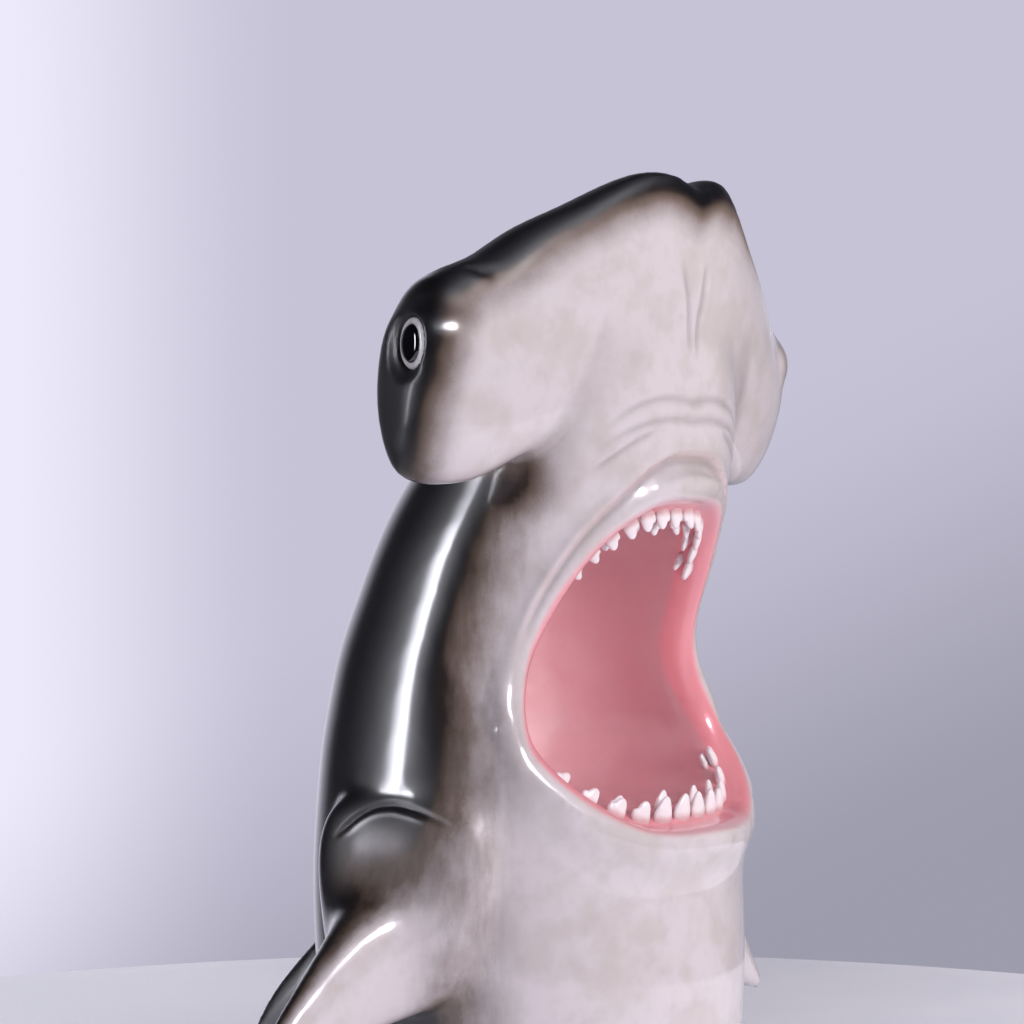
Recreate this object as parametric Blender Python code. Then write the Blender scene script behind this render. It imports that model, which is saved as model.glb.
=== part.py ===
"""A hammerhead shark figure that rears up with its mouth wide open, life-size, in painted glass-fibre.

The body, with its hammer, lips, fins and mouth hollow, is one casting that stands on a flat base.
Each tooth and each eye is a piece of its own, set on the casting with a hairline gap.
Metres, +Z up. The belly faces -Y, the back +Y, and the origin is the middle of the base.
"""

from collections import namedtuple
from math import atan2, cos, pi, radians, sin

import bmesh
import bpy
import numpy as np
from mathutils import Matrix, Vector
from mathutils.bvhtree import BVHTree

MM = 0.001

# Driving sizes of the casting
BODY_HALF_WIDTH = 0.244
HAMMER_HALF_SPAN = 0.334
HAMMER_THICKNESS = 0.122
HAMMER_TIP_ROUND = 0.036
HAMMER_MIDDLE_Y = -0.140
HAMMER_SWEEP = 0.092
HAMMER_SWEEP_CURVE = 1.85
HAMMER_SQUARENESS = 2.4
HAMMER_FOOT_THINNING = 0.3
HAMMER_EDGE_FORWARD = 0.050  # how far the middle of the leading edge comes forward
HAMMER_EDGE_FADE = 4
MOUTH_HALF_WIDTH = 0.187
MOUTH_TOP = 0.742
MOUTH_BOTTOM = 0.402
LIP_RADIUS = 0.019
LIP_PROUD = 0.008
LIP_SET_BACK = 0.4  # of the lip above and below the mouth, as a share of its radius
LIP_SIDE_SET_BACK = 1.1  # of the lip at the mouth's sides
LIP_CORNER_SWELL = 0.32  # how much thicker the lip is at the mouth's corners, as a share
GUM_WIDTH = 0.021
GUM_DEPTH = 0.029
LOWER_JAW_DEEPER = 0.55  # how much deeper the gum lies at the mouth's bottom, as a share
CAVITY_BACK = 0.130
PECTORAL_SPAN = 0.500
PECTORAL_MIDDLE_Y = 0.012
DORSAL_REACH = 0.405
FIN_BACK_EDGE = 0.45

# Teeth and eyes
TOOTH_WIDTH = 0.024
TOOTH_HEIGHT = 0.025
TOOTH_THICKNESS = 0.010
TOOTH_ROOT = 0.012
TOOTH_SEAT_REACH = 0.06  # how far inside the rim the search for a tooth's seat on the gum starts
EYE_RADIUS = 0.026
EYE_DOME = 0.007
EYE_SOCKET_DEPTH = 0.008
EYE_HEIGHT = 0.902
EYE_FORWARD = 0.024
EYE_BOSS_RADIUS = 0.044
EYE_BOSS_PROUD = -0.005
EYE_SINK = 0.006
FIT_GAP = 0.0003

# How finely the casting is lofted and fused, and how far its seams are softened
TRUNK_RINGS = 90
TRUNK_SIDES = 72
FUSE_STEP = 0.008
SOFTEN_ROUNDS = 7
CASTING_TRIANGLES = 8900

# Each station of the trunk: its height, its half-width as a share of the widest, the Y of its widest
# line, and how far it reaches behind and in front of that line, in mm, and how square its front is
Station = namedtuple("Station", "height width middle back front square")
TRUNK = [
    Station(-20, 0.85, 0, 208, 195, 2),
    Station(110, 0.94, 4, 229, 215, 2),
    Station(250, 0.99, 6, 242, 226, 2),
    Station(363, 1.0, 6, 244, 222, 2),
    Station(430, 0.99, 4, 241, 218, 2),
    Station(480, 0.975, 2, 238, 194, 2),
    Station(530, 0.95, -1, 232, 145, 2),
    Station(575, 0.925, -5, 226, 122, 2),
    Station(640, 0.885, -19, 216, 127, 2),
    Station(700, 0.85, -35, 206, 134, 2),
    Station(760, 0.79, -55, 193, 138, 2.15),
    Station(830, 0.72, -80, 156, 118, 2.5),
    Station(900, 0.63, -108, 108, 90, 2.6),
    Station(965, 0.50, -130, 60, 64, 2.6),
    Station(1030, 0.32, -150, 30, 35, 2.6),
]

# Top and lower edge of the hammer: share of the half-span, height in mm
HAMMER_TOP = [
    (0.0, 1078), (0.05, 1084), (0.14, 1091), (0.30, 1078), (0.47, 1049), (0.63, 1021), (0.76, 992),
    (0.82, 984), (0.88, 974), (0.93, 958), (0.965, 936), (0.99, 905), (1.0, 860),
]
HAMMER_FOOT = [
    (0.0, 830), (0.25, 815), (0.47, 806), (0.63, 784), (0.75, 766), (0.85, 761),
    (0.91, 762), (0.95, 767), (0.98, 777), (1.0, 798),
]

# Right half of the mouth's rim seen from the front, from the top to the bottom:
# share of the half-width, share of the height
MOUTH_RIM = [
    (0.0, 1.0), (0.30, 0.99), (0.50, 0.935), (0.63, 0.86), (0.75, 0.735), (0.82, 0.60),
    (0.89, 0.46), (0.97, 0.33), (0.99, 0.25), (0.94, 0.172), (0.81, 0.093), (0.63, 0.034),
    (0.40, 0.004), (0.0, 0.0),
]

# The mouth hollow from the lips to the throat, ring by ring: how far it is drawn in as a share of the gum's
# width, how far back it is as a share of the gum's depth, how far it has turned from the rim's own curve to
# a flat ring, and how far in front of the hollow's back that flat ring is
Hollow = namedtuple("Hollow", "inset depth flat before_back")
MOUTH_HOLLOW = [
    Hollow(0.0, -5.0, 0.0, 0.0),
    Hollow(0.0, 0.0, 0.0, 0.0),
    Hollow(0.1, 0.6, 0.0, 0.0),
    Hollow(1.0, 1.0, 0.0, 0.0),
    Hollow(0.75, 1.7, 0.0, 0.0),
    Hollow(0.7, 1.7, 0.8, 0.12),
    Hollow(1.4, 1.7, 1.0, 0.05),
    Hollow(2.8, 1.7, 1.0, 0.01),
    Hollow(4.5, 1.7, 1.0, 0.0),
]

# Side fin: share of the span, top and lower edge in mm, half-thickness in mm
PECTORAL = [
    (0.28, 442, 215, 118), (0.42, 442, 218, 122), (0.485, 438, 218, 118), (0.52, 398, 215, 100),
    (0.56, 352, 210, 70), (0.62, 326, 202, 44), (0.72, 292, 184, 28), (0.84, 244, 160, 19),
    (0.94, 192, 142, 12), (1.0, 152, 134, 7),
]

# Back fin: share of the reach, top and lower edge in mm, half-thickness in mm
DORSAL = [
    (0.36, 335, 92, 26), (0.56, 318, 96, 24), (0.66, 280, 100, 20), (0.78, 234, 104, 16),
    (0.90, 184, 102, 12), (0.97, 148, 100, 9), (1.0, 128, 102, 7),
]

# Outlines of teeth from the gum to the tip: share of the height, how far the middle leans to the side of
# the low cusp and the half-width, both as shares of the width, and the thickness as a share
CUSPED = [
    (0.16, 0.0, 0.50, 1.0), (0.34, 0.03, 0.50, 0.90), (0.46, 0.01, 0.44, 0.80),
    (0.55, -0.13, 0.29, 0.70), (0.72, -0.16, 0.19, 0.46), (0.83, -0.17, 0.07, 0.24),
]
POINTED = [
    (0.18, 0.0, 0.49, 1.0), (0.42, -0.03, 0.42, 0.84), (0.66, -0.08, 0.30, 0.66),
    (0.86, -0.12, 0.17, 0.46), (1.0, -0.14, 0.05, 0.22),
]
TOOTH_SIDES = 8

# Each row of teeth: its middle as a share of the way round the rim, how far it reaches to each side along
# the rim, how many teeth it has, how far behind the rim it stands, its forward lean, its size, how many
# teeth in its middle are pointed, and whether the low cusps look away from its middle (1) or towards it (-1)
Row = namedtuple("Row", "name middle reach count depth lean size pointed cusp")
TOOTH_ROWS = [
    Row("tooth_upper_outer", 0.0, 0.165, 13, 0.020, 10, 0.92, 0, -1),
    Row("tooth_upper_inner", 0.0, 0.150, 8, 0.033, 4, 0.80, 0, -1),
    Row("tooth_lower_outer", 0.5, 0.192, 12, 0.032, 8, 1.1, 4, 1),
    Row("tooth_lower_inner", 0.5, 0.180, 6, 0.045, 4, 0.85, 2, 1),
]

# Profile of an eye: share of the radius, height as a share of the dome
EYE_PROFILE = [(0.0, 1.0), (0.30, 0.94), (0.58, 0.66), (0.70, 0.40), (0.78, 0.62), (0.90, 0.60), (1.0, 0.10)]
EYE_STEPS = 20


def smooth_curve(points):
    """A function of one value through the points, a natural cubic spline, held at its end values."""
    x, y = np.array(points, float).T
    count = len(x)
    step = np.diff(x)
    slope = np.diff(y) / step
    system = np.eye(count)
    right = np.zeros(count)
    for i in range(1, count - 1):
        system[i, i - 1 : i + 2] = step[i - 1], 2 * (step[i - 1] + step[i]), step[i]
        right[i] = 6 * (slope[i] - slope[i - 1])
    bend = np.linalg.solve(system, right)

    def value(at):
        at = np.clip(at, x[0], x[-1])
        i = np.clip(np.searchsorted(x, at) - 1, 0, count - 2)
        before, after = at - x[i], x[i + 1] - at
        return (
            (bend[i] * after**3 + bend[i + 1] * before**3) / (6 * step[i])
            + (y[i] / step[i] - bend[i] * step[i] / 6) * after
            + (y[i + 1] / step[i] - bend[i + 1] * step[i] / 6) * before
        )

    return value


def table_curve(rows, column, scale=MM):
    return smooth_curve([(row[0], row[column] * scale) for row in rows])


TRUNK_WIDTH = smooth_curve([(s.height * MM, s.width * BODY_HALF_WIDTH) for s in TRUNK])
TRUNK_MIDDLE = smooth_curve([(s.height * MM, s.middle * MM) for s in TRUNK])
TRUNK_BACK = smooth_curve([(s.height * MM, s.back * MM) for s in TRUNK])
TRUNK_FRONT = smooth_curve([(s.height * MM, s.front * MM) for s in TRUNK])
TRUNK_SQUARENESS = smooth_curve([(s.height * MM, s.square) for s in TRUNK])


def clear_scene():
    for obj in list(bpy.data.objects):
        bpy.data.objects.remove(obj)


def material(name, hex_colour, roughness):
    """A painted surface of one colour; the colour is given in sRGB."""
    rgb = [int(hex_colour[i : i + 2], 16) / 255 for i in (0, 2, 4)]
    linear = [c / 12.92 if c <= 0.04045 else ((c + 0.055) / 1.055) ** 2.4 for c in rgb]
    made = bpy.data.materials.new(name)
    made.use_nodes = True
    surface = made.node_tree.nodes["Principled BSDF"]
    surface.inputs["Base Color"].default_value = (*linear, 1)
    surface.inputs["Roughness"].default_value = roughness
    surface.inputs["Metallic"].default_value = 0
    return made


def add_object(name, mesh, finish=None):
    obj = bpy.data.objects.new(name, mesh)
    bpy.context.scene.collection.objects.link(obj)
    if finish:
        mesh.materials.clear()
        mesh.materials.append(finish)
    return obj


def guide(name, mesh):
    """A helper object that shapes another and is not a piece itself."""
    obj = add_object(name, mesh)
    obj.hide_render = True
    obj.display_type = "WIRE"
    return obj


def remove(*objects):
    for obj in objects:
        bpy.data.objects.remove(obj)


def loft(rings, closed_path=False):
    """A closed mesh through rings of points: each ring is joined to the next and the ends are capped."""
    form = bmesh.new()
    loops = []
    for ring in rings:
        verts = [form.verts.new(point) for point in ring]
        loops.append([form.edges.new((verts[i - 1], verts[i])) for i in range(len(verts))])
    pairs = list(zip(loops, loops[1:]))
    if closed_path:
        pairs.append((loops[-1], loops[0]))
    for first, second in pairs:
        bmesh.ops.bridge_loops(form, edges=first + second)
    if not closed_path:
        bmesh.ops.edgeloop_fill(form, edges=loops[0])
        bmesh.ops.edgeloop_fill(form, edges=loops[-1])
    bmesh.ops.recalc_face_normals(form, faces=form.faces)
    mesh = bpy.data.meshes.new("loft")
    form.to_mesh(mesh)
    form.free()
    return mesh


def joined(meshes):
    """One mesh that holds the faces of all of them."""
    form = bmesh.new()
    for mesh in meshes:
        form.from_mesh(mesh)
    result = bpy.data.meshes.new("joined")
    form.to_mesh(result)
    form.free()
    return result


def evaluated(obj):
    """The mesh of an object with its modifiers applied."""
    graph = bpy.context.evaluated_depsgraph_get()
    return bpy.data.meshes.new_from_object(obj.evaluated_get(graph))


def with_modifiers(mesh, *settings):
    """The mesh after a chain of modifiers; each is given as its type and its values."""
    obj = guide("work", mesh)
    for kind, values in settings:
        modifier = obj.modifiers.new(kind.title(), kind)
        for key, value in values.items():
            setattr(modifier, key, value)
    result = evaluated(obj)
    remove(obj)
    return result


def cut_from(mesh, cutter_mesh):
    cutter = guide("cutter", cutter_mesh)
    result = with_modifiers(mesh, ("BOOLEAN", {"operation": "DIFFERENCE", "object": cutter, "solver": "EXACT"}))
    remove(cutter)
    return result


def superellipse(angle, power):
    """Unit outline between an ellipse (2) and a rectangle (large)."""
    c, s = cos(angle), sin(angle)
    return np.sign(c) * abs(c) ** (2 / power), np.sign(s) * abs(s) ** (2 / power)


def turns(count):
    return [2 * pi * i / count for i in range(count)]


def trunk_mesh():
    low, high = TRUNK[0].height * MM, TRUNK[-1].height * MM
    rings = []
    for z in np.linspace(low, high, TRUNK_RINGS):
        width, middle = TRUNK_WIDTH(z), TRUNK_MIDDLE(z)
        back, front, square = TRUNK_BACK(z), TRUNK_FRONT(z), TRUNK_SQUARENESS(z)
        ring = []
        for t in turns(TRUNK_SIDES):
            across, towards_back = superellipse(t, 2 if sin(t) > 0 else square)
            ring.append((width * across, middle + (back if sin(t) > 0 else front) * towards_back, z))
        rings.append(ring)
    return loft(rings)


def trunk_front_y(x, z):
    """Y of the trunk's belly side at a place seen from the front."""
    share = min(abs(x) / TRUNK_WIDTH(z), 0.999)
    square = TRUNK_SQUARENESS(z)
    return TRUNK_MIDDLE(z) - TRUNK_FRONT(z) * (1 - share**square) ** (1 / square)


def hammer_place(share):
    """Middle line of the hammer at a signed share of its half-span, and its backward normal."""
    x = share * HAMMER_HALF_SPAN
    swept = HAMMER_SWEEP * abs(share) ** HAMMER_SWEEP_CURVE
    slope = HAMMER_SWEEP / HAMMER_HALF_SPAN * HAMMER_SWEEP_CURVE * abs(share) ** (HAMMER_SWEEP_CURVE - 1)
    turn = atan2(np.sign(share) * slope, 1)
    return Vector((x, HAMMER_MIDDLE_Y + swept, 0)), Vector((-sin(turn), cos(turn), 0))


def hammer_half_thickness(share):
    """Full along the wing, and rounded off at its tip."""
    from_tip = (1 - abs(share)) * HAMMER_HALF_SPAN
    full = HAMMER_THICKNESS / 2
    if from_tip >= HAMMER_TIP_ROUND:
        return full
    return full - HAMMER_TIP_ROUND + (HAMMER_TIP_ROUND**2 - (HAMMER_TIP_ROUND - from_tip) ** 2) ** 0.5


def hammer_mesh():
    top, foot = table_curve(HAMMER_TOP, 1), table_curve(HAMMER_FOOT, 1)
    wing = np.concatenate([np.linspace(0, 0.9, 28), 1 - 0.1 * np.linspace(0.9, 0, 12) ** 2])
    rings = []
    for share in np.concatenate([-wing[:0:-1], wing]):
        place, back = hammer_place(share)
        high, low = top(abs(share)), foot(abs(share))
        half_height, middle = (high - low) / 2, (high + low) / 2
        thick = hammer_half_thickness(share)
        edge_forward = HAMMER_EDGE_FORWARD * (1 - share**2) ** HAMMER_EDGE_FADE
        ring = []
        for t in turns(48):
            across, up = superellipse(t, HAMMER_SQUARENESS)
            thinned = 1 + HAMMER_FOOT_THINNING * min(up, 0)
            forward = edge_forward * max(up, 0) ** 3
            ring.append(place + back * thick * across * thinned + Vector((0, -forward, middle + half_height * up)))
        rings.append(ring)
    return loft(rings)


def mouth_rim(count):
    """Points of the rim on the trunk's surface, once round, starting at the top and going to +X."""
    width = smooth_curve([(i, row[0]) for i, row in enumerate(MOUTH_RIM)])
    height = smooth_curve([(i, row[1]) for i, row in enumerate(MOUTH_RIM)])
    half = np.linspace(0, len(MOUTH_RIM) - 1, 400)
    x = width(half) * MOUTH_HALF_WIDTH
    z = MOUTH_BOTTOM + height(half) * (MOUTH_TOP - MOUTH_BOTTOM)
    x, z = np.concatenate([x, -x[-2:0:-1]]), np.concatenate([z, z[-2:0:-1]])
    steps = np.hypot(np.diff(x, append=x[0]), np.diff(z, append=z[0]))
    along = np.concatenate([[0], np.cumsum(steps)])
    even = np.linspace(0, along[-1], count, endpoint=False)
    x = np.interp(even, along, np.append(x, x[0]))
    z = np.interp(even, along, np.append(z, z[0]))
    return [Vector((a, trunk_front_y(a, b) - LIP_PROUD, b)) for a, b in zip(x, z)]


def inward(rim, i):
    """Unit vector from a rim point towards the mouth's middle, in the front view."""
    along = rim[(i + 1) % len(rim)] - rim[i - 1]
    return Vector((-along.z, 0, along.x)).normalized() * -1


def mouth_ring(rim, hollow):
    """One ring of the mouth hollow: the rim drawn in and pushed back, the lower jaw's part further."""
    ring = []
    for i, point in enumerate(rim):
        lower = ((MOUTH_TOP - point.z) / (MOUTH_TOP - MOUTH_BOTTOM)) ** 2
        moved = point + inward(rim, i) * hollow.inset * GUM_WIDTH
        curved_y = point.y + hollow.depth * GUM_DEPTH * (1 + LOWER_JAW_DEEPER * lower)
        flat_y = CAVITY_BACK - hollow.before_back
        ring.append(Vector((moved.x, curved_y * (1 - hollow.flat) + flat_y * hollow.flat, moved.z)))
    return ring


def mouth_cutter_mesh():
    """The hollow of the mouth: out through the lips, in past the gum, wider behind it, closed at the throat."""
    rim = mouth_rim(96)
    return loft([mouth_ring(rim, hollow) for hollow in MOUTH_HOLLOW])


def lip_mesh():
    """The rolled lip: a round bead that follows the rim."""
    rim = mouth_rim(120)
    rings = []
    for i, point in enumerate(rim):
        side = -inward(rim, i)
        back = Vector((0, 1, 0))
        set_back = LIP_SIDE_SET_BACK * abs(side.x) + LIP_SET_BACK * abs(side.z)
        centre = point + side * LIP_RADIUS * abs(side.z) + back * LIP_RADIUS * set_back
        radius = LIP_RADIUS * (1 + LIP_CORNER_SWELL * 2 * abs(side.x * side.z))
        rings.append([centre + (side * cos(t) + back * sin(t)) * radius for t in turns(16)])
    return loft(rings, closed_path=True)


def eye_boss_mesh(side):
    """The rounded swelling at the hammer's end that carries the eye."""
    centre, outward = eye_line(side)
    form = bmesh.new()
    middle = centre - outward * (EYE_BOSS_RADIUS - EYE_BOSS_PROUD)
    bmesh.ops.create_uvsphere(
        form, u_segments=32, v_segments=16, radius=EYE_BOSS_RADIUS, matrix=Matrix.Translation(middle)
    )
    mesh = bpy.data.meshes.new("boss")
    form.to_mesh(mesh)
    form.free()
    return mesh


def eye_line(side):
    """The middle of an eye on the hammer's end plane, and the way it looks."""
    middle, back = hammer_place(side)
    outward = Vector((back.y, -back.x, 0)) * side
    return middle - back * EYE_FORWARD + Vector((0, 0, EYE_HEIGHT)), outward


def fin_mesh(rows, place):
    """A fin through sections that stand along Z; place gives the point at a share, a height and a side."""
    top, foot, thick = table_curve(rows, 1), table_curve(rows, 2), table_curve(rows, 3)
    rings = []
    for share in np.linspace(rows[0][0], rows[-1][0], 30):
        half, middle = (top(share) - foot(share)) / 2, (top(share) + foot(share)) / 2
        ring = []
        for t in turns(32):
            towards_top = (1 + sin(t)) / 2
            across = thick(share) * cos(t) * (FIN_BACK_EDGE + (1 - FIN_BACK_EDGE) * towards_top)
            ring.append(place(share, middle + half * sin(t), across))
        rings.append(ring)
    return loft(rings)


def pectoral_mesh(side):
    return fin_mesh(
        PECTORAL, lambda share, z, across: Vector((side * share * PECTORAL_SPAN, PECTORAL_MIDDLE_Y + across, z))
    )


def dorsal_mesh():
    return fin_mesh(DORSAL, lambda share, z, across: Vector((across, share * DORSAL_REACH, z)))


def level_base(mesh):
    """The mesh cut off flat at the floor."""
    form = bmesh.new()
    form.from_mesh(mesh)
    everything = list(form.verts) + list(form.edges) + list(form.faces)
    cut = bmesh.ops.bisect_plane(form, geom=everything, plane_co=(0, 0, 0), plane_no=(0, 0, 1), clear_inner=True)
    rim = [part for part in cut["geom_cut"] if isinstance(part, bmesh.types.BMEdge)]
    bmesh.ops.edgeloop_fill(form, edges=rim)
    bmesh.ops.recalc_face_normals(form, faces=form.faces)
    form.to_mesh(mesh)
    form.free()
    return mesh


def casting_mesh():
    """The trunk with its mouth hollow, and the hammer, lips and fins that are fused to it."""
    trunk = cut_from(trunk_mesh(), mouth_cutter_mesh())
    pairs = [shape(side) for shape in (eye_boss_mesh, pectoral_mesh) for side in (-1, 1)]
    parts = joined([trunk, hammer_mesh(), lip_mesh(), dorsal_mesh(), *pairs])
    fused = with_modifiers(
        parts,
        ("REMESH", {"mode": "VOXEL", "voxel_size": FUSE_STEP}),
        ("SMOOTH", {"factor": 0.5, "iterations": SOFTEN_ROUNDS}),
    )
    level_base(fused)
    share = CASTING_TRIANGLES / (2 * len(fused.polygons))
    return with_modifiers(fused, ("TRIANGULATE", {}), ("DECIMATE", {"ratio": share}))


def surface_of(mesh):
    form = bmesh.new()
    form.from_mesh(mesh)
    tree = BVHTree.FromBMesh(form)
    form.free()
    return tree


def rim_place(rim, along):
    """Point, inward direction and running direction at a distance along the rim, in shares of its length."""
    at = along * len(rim)
    i, part = int(at // 1) % len(rim), at % 1
    point = rim[i].lerp(rim[(i + 1) % len(rim)], part)
    towards = inward(rim, i).lerp(inward(rim, (i + 1) % len(rim)), part).normalized()
    running = (rim[(i + 1) % len(rim)] - rim[i]).normalized()
    return point, towards, running


def rim_length(rim):
    return sum((rim[i] - rim[i - 1]).length for i in range(len(rim)))


def tooth_mesh(outline, seat, up, cusp_side, size):
    """A flat rounded tooth with its low cusp on one side; its root goes down into the gum."""
    across = (cusp_side - up * cusp_side.dot(up)).normalized()
    through = up.cross(across)
    rings = []
    for height, lean, half, thick in [(-TOOTH_ROOT / TOOTH_HEIGHT, 0.0, 0.42, 0.9)] + outline:
        middle = seat + (up * height * TOOTH_HEIGHT + across * lean * TOOTH_WIDTH) * size
        ring = []
        for t in turns(TOOTH_SIDES):
            offset = across * half * TOOTH_WIDTH * cos(t) + through * thick * TOOTH_THICKNESS / 2 * sin(t)
            ring.append(middle + offset * size)
        rings.append(ring)
    return loft(rings)


def add_teeth(casting, finish):
    """Rows of teeth that stand on the gum; each root is trimmed a hairline short of the casting."""
    rim = mouth_rim(240)
    surface = surface_of(casting)
    swollen = with_modifiers(casting, ("DISPLACE", {"strength": FIT_GAP, "mid_level": 0.0}))
    length = rim_length(rim)
    for row in TOOTH_ROWS:
        for i in range(row.count):
            offset = (2 * i / (row.count - 1) - 1) * row.reach
            point, towards, running = rim_place(rim, (row.middle + offset / length) % 1)
            origin = point + towards * TOOTH_SEAT_REACH + Vector((0, row.depth, 0))
            seat = surface.ray_cast(origin, -towards)[0]
            lean = radians(row.lean)
            up = (towards * cos(lean) + Vector((0, -1, 0)) * sin(lean)).normalized()
            cusp_side = running * row.cusp * (1 if offset > 0 else -1)
            from_middle = abs(i - (row.count - 1) / 2)
            outline = POINTED if from_middle < row.pointed / 2 else CUSPED
            tooth = cut_from(tooth_mesh(outline, seat, up, cusp_side, row.size), swollen.copy())
            tooth.shade_smooth()
            add_object(f"{row.name}_{i + 1:02d}", tooth, finish)
    bpy.data.meshes.remove(swollen)


def eye_frame(casting, side):
    """Where an eye sits on the skin of the hammer's end, and the way it looks."""
    centre, outward = eye_line(side)
    skin = surface_of(casting).ray_cast(centre + outward * EYE_RADIUS * 4, -outward)[0]
    return skin - outward * EYE_SINK, outward


def turned_mesh(profile, frame, steps):
    """A closed round piece from a profile of radius and height, turned about the frame's axis."""
    form = bmesh.new()
    verts = [form.verts.new((radius, 0, height)) for radius, height in profile]
    edges = [form.edges.new(pair) for pair in zip(verts, verts[1:])]
    bmesh.ops.spin(
        form, geom=verts + edges, cent=(0, 0, 0), axis=(0, 0, 1), angle=2 * pi, steps=steps, use_merge=True
    )
    bmesh.ops.remove_doubles(form, verts=form.verts, dist=1e-5)
    bmesh.ops.recalc_face_normals(form, faces=form.faces)
    bmesh.ops.transform(form, matrix=frame, verts=form.verts)
    mesh = bpy.data.meshes.new("turned")
    form.to_mesh(mesh)
    form.free()
    return mesh


def axis_frame(seat, outward):
    return Matrix.Translation(seat) @ outward.to_track_quat("Z", "Y").to_matrix().to_4x4()


def socket_mesh(frame):
    radius, depth = EYE_RADIUS + FIT_GAP, EYE_SOCKET_DEPTH + FIT_GAP
    high = EYE_SINK + EYE_DOME
    return turned_mesh([(0, high), (radius, high), (radius, -depth), (0, -depth)], frame, EYE_STEPS)


def eye_mesh(frame):
    """A domed eye with a raised ring; its flat back stands in the socket."""
    front = [(share * EYE_RADIUS, height * EYE_DOME) for share, height in EYE_PROFILE]
    return turned_mesh(front + [(EYE_RADIUS, -EYE_SOCKET_DEPTH), (0, -EYE_SOCKET_DEPTH)], frame, EYE_STEPS)


def main():
    clear_scene()
    skin = material("painted glass-fibre", "c9bfc4", 0.25)
    enamel = material("tooth enamel paint", "ece6e2", 0.3)
    gloss = material("eye gloss paint", "17151a", 0.08)
    casting = casting_mesh()
    frames = {side: axis_frame(*eye_frame(casting, side)) for side in (-1, 1)}
    for frame in frames.values():
        casting = cut_from(casting, socket_mesh(frame))
    casting.shade_smooth()
    add_object("body", casting, skin)
    for name, side in (("eye_left", -1), ("eye_right", 1)):
        eye = eye_mesh(frames[side])
        eye.shade_smooth()
        add_object(name, eye, gloss)
    add_teeth(casting, enamel)


if __name__ == "__main__":
    main()
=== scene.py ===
"""Looks of a life-size hammerhead shark figure: airbrushed glass-fibre under clear lacquer, with cast teeth.

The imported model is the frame. The casting is lofted and fused again from the same sizes, only finer, then
its folds, furrows and creases are pressed in and its airbrushed paint is laid out as attributes.
Metres, +Z up. The belly faces -Y, the back +Y, and the origin is the middle of the base.
"""

from collections import namedtuple
from functools import partial
from math import atan, atan2, cos, pi, radians, sin

import bmesh
import bpy
import numpy as np
from bpy.props import FloatProperty, FloatVectorProperty, PointerProperty
from mathutils import Matrix, Vector
from mathutils.bvhtree import BVHTree


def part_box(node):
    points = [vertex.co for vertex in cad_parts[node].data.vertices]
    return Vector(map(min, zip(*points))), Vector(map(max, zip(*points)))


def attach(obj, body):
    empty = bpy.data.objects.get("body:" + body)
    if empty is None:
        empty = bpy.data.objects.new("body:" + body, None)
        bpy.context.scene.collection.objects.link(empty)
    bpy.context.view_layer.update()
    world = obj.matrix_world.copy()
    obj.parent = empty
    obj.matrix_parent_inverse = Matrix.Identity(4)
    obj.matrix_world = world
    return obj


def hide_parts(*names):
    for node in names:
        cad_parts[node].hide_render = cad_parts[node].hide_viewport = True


bl_info = {
    "name": "Hammerhead shark figure",
    "version": (1, 0, 0),
    "blender": (4, 5, 0),
    "location": "View3D > Sidebar > Shark",
    "description": "Builds the painted casting, the teeth, the eyes and the studio of a shark figure",
    "category": "Object",
}

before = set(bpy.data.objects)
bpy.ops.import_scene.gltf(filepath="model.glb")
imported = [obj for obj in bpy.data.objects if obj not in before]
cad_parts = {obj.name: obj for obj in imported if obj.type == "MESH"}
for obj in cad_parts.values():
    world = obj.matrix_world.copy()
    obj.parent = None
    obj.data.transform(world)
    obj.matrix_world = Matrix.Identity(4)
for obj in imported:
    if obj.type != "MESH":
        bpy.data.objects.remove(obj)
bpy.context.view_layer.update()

MM = 0.001

# Driving sizes of the casting
BODY_HALF_WIDTH = 0.244
HAMMER_HALF_SPAN = 0.334
HAMMER_THICKNESS = 0.122
HAMMER_TIP_ROUND = 0.036
HAMMER_MIDDLE_Y = -0.140
HAMMER_SWEEP = 0.092
HAMMER_SWEEP_CURVE = 1.85
HAMMER_SQUARENESS = 2.4
HAMMER_FOOT_THINNING = 0.3
HAMMER_EDGE_FORWARD = 0.050  # how far the middle of the leading edge comes forward
HAMMER_EDGE_FADE = 4
MOUTH_HALF_WIDTH = 0.187
MOUTH_TOP = 0.742
MOUTH_BOTTOM = 0.402
LIP_RADIUS = 0.019
LIP_PROUD = 0.008
LIP_SET_BACK = 0.4  # of the lip above and below the mouth, as a share of its radius
LIP_SIDE_SET_BACK = 1.1  # of the lip at the mouth's sides
LIP_CORNER_SWELL = 0.32  # how much thicker the lip is at the mouth's corners, as a share
GUM_WIDTH = 0.021
GUM_DEPTH = 0.029
LOWER_JAW_DEEPER = 0.55  # how much deeper the gum lies at the mouth's bottom, as a share
CAVITY_BACK = 0.130
PECTORAL_SPAN = 0.500
PECTORAL_MIDDLE_Y = 0.012
DORSAL_REACH = 0.405
FIN_BACK_EDGE = 0.72
FIN_SQUARENESS = 3.0

# Teeth and eyes
TOOTH_WIDTH = 0.024
TOOTH_HEIGHT = 0.025
TOOTH_THICKNESS = 0.010
LEFT_TEETH_SHORTER = 0.36  # how much smaller the teeth get towards a row's left end, as a share
TOOTH_SEAT_REACH = 0.06  # how far inside the rim the search for a tooth's seat on the gum starts
EYE_RADIUS = 0.026
EYE_DOME = 0.007
EYE_SOCKET_DEPTH = 0.008
EYE_HEIGHT = 0.902
EYE_FORWARD = 0.024
EYE_BOSS_RADIUS = 0.044
EYE_BOSS_PROUD = -0.005

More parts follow.
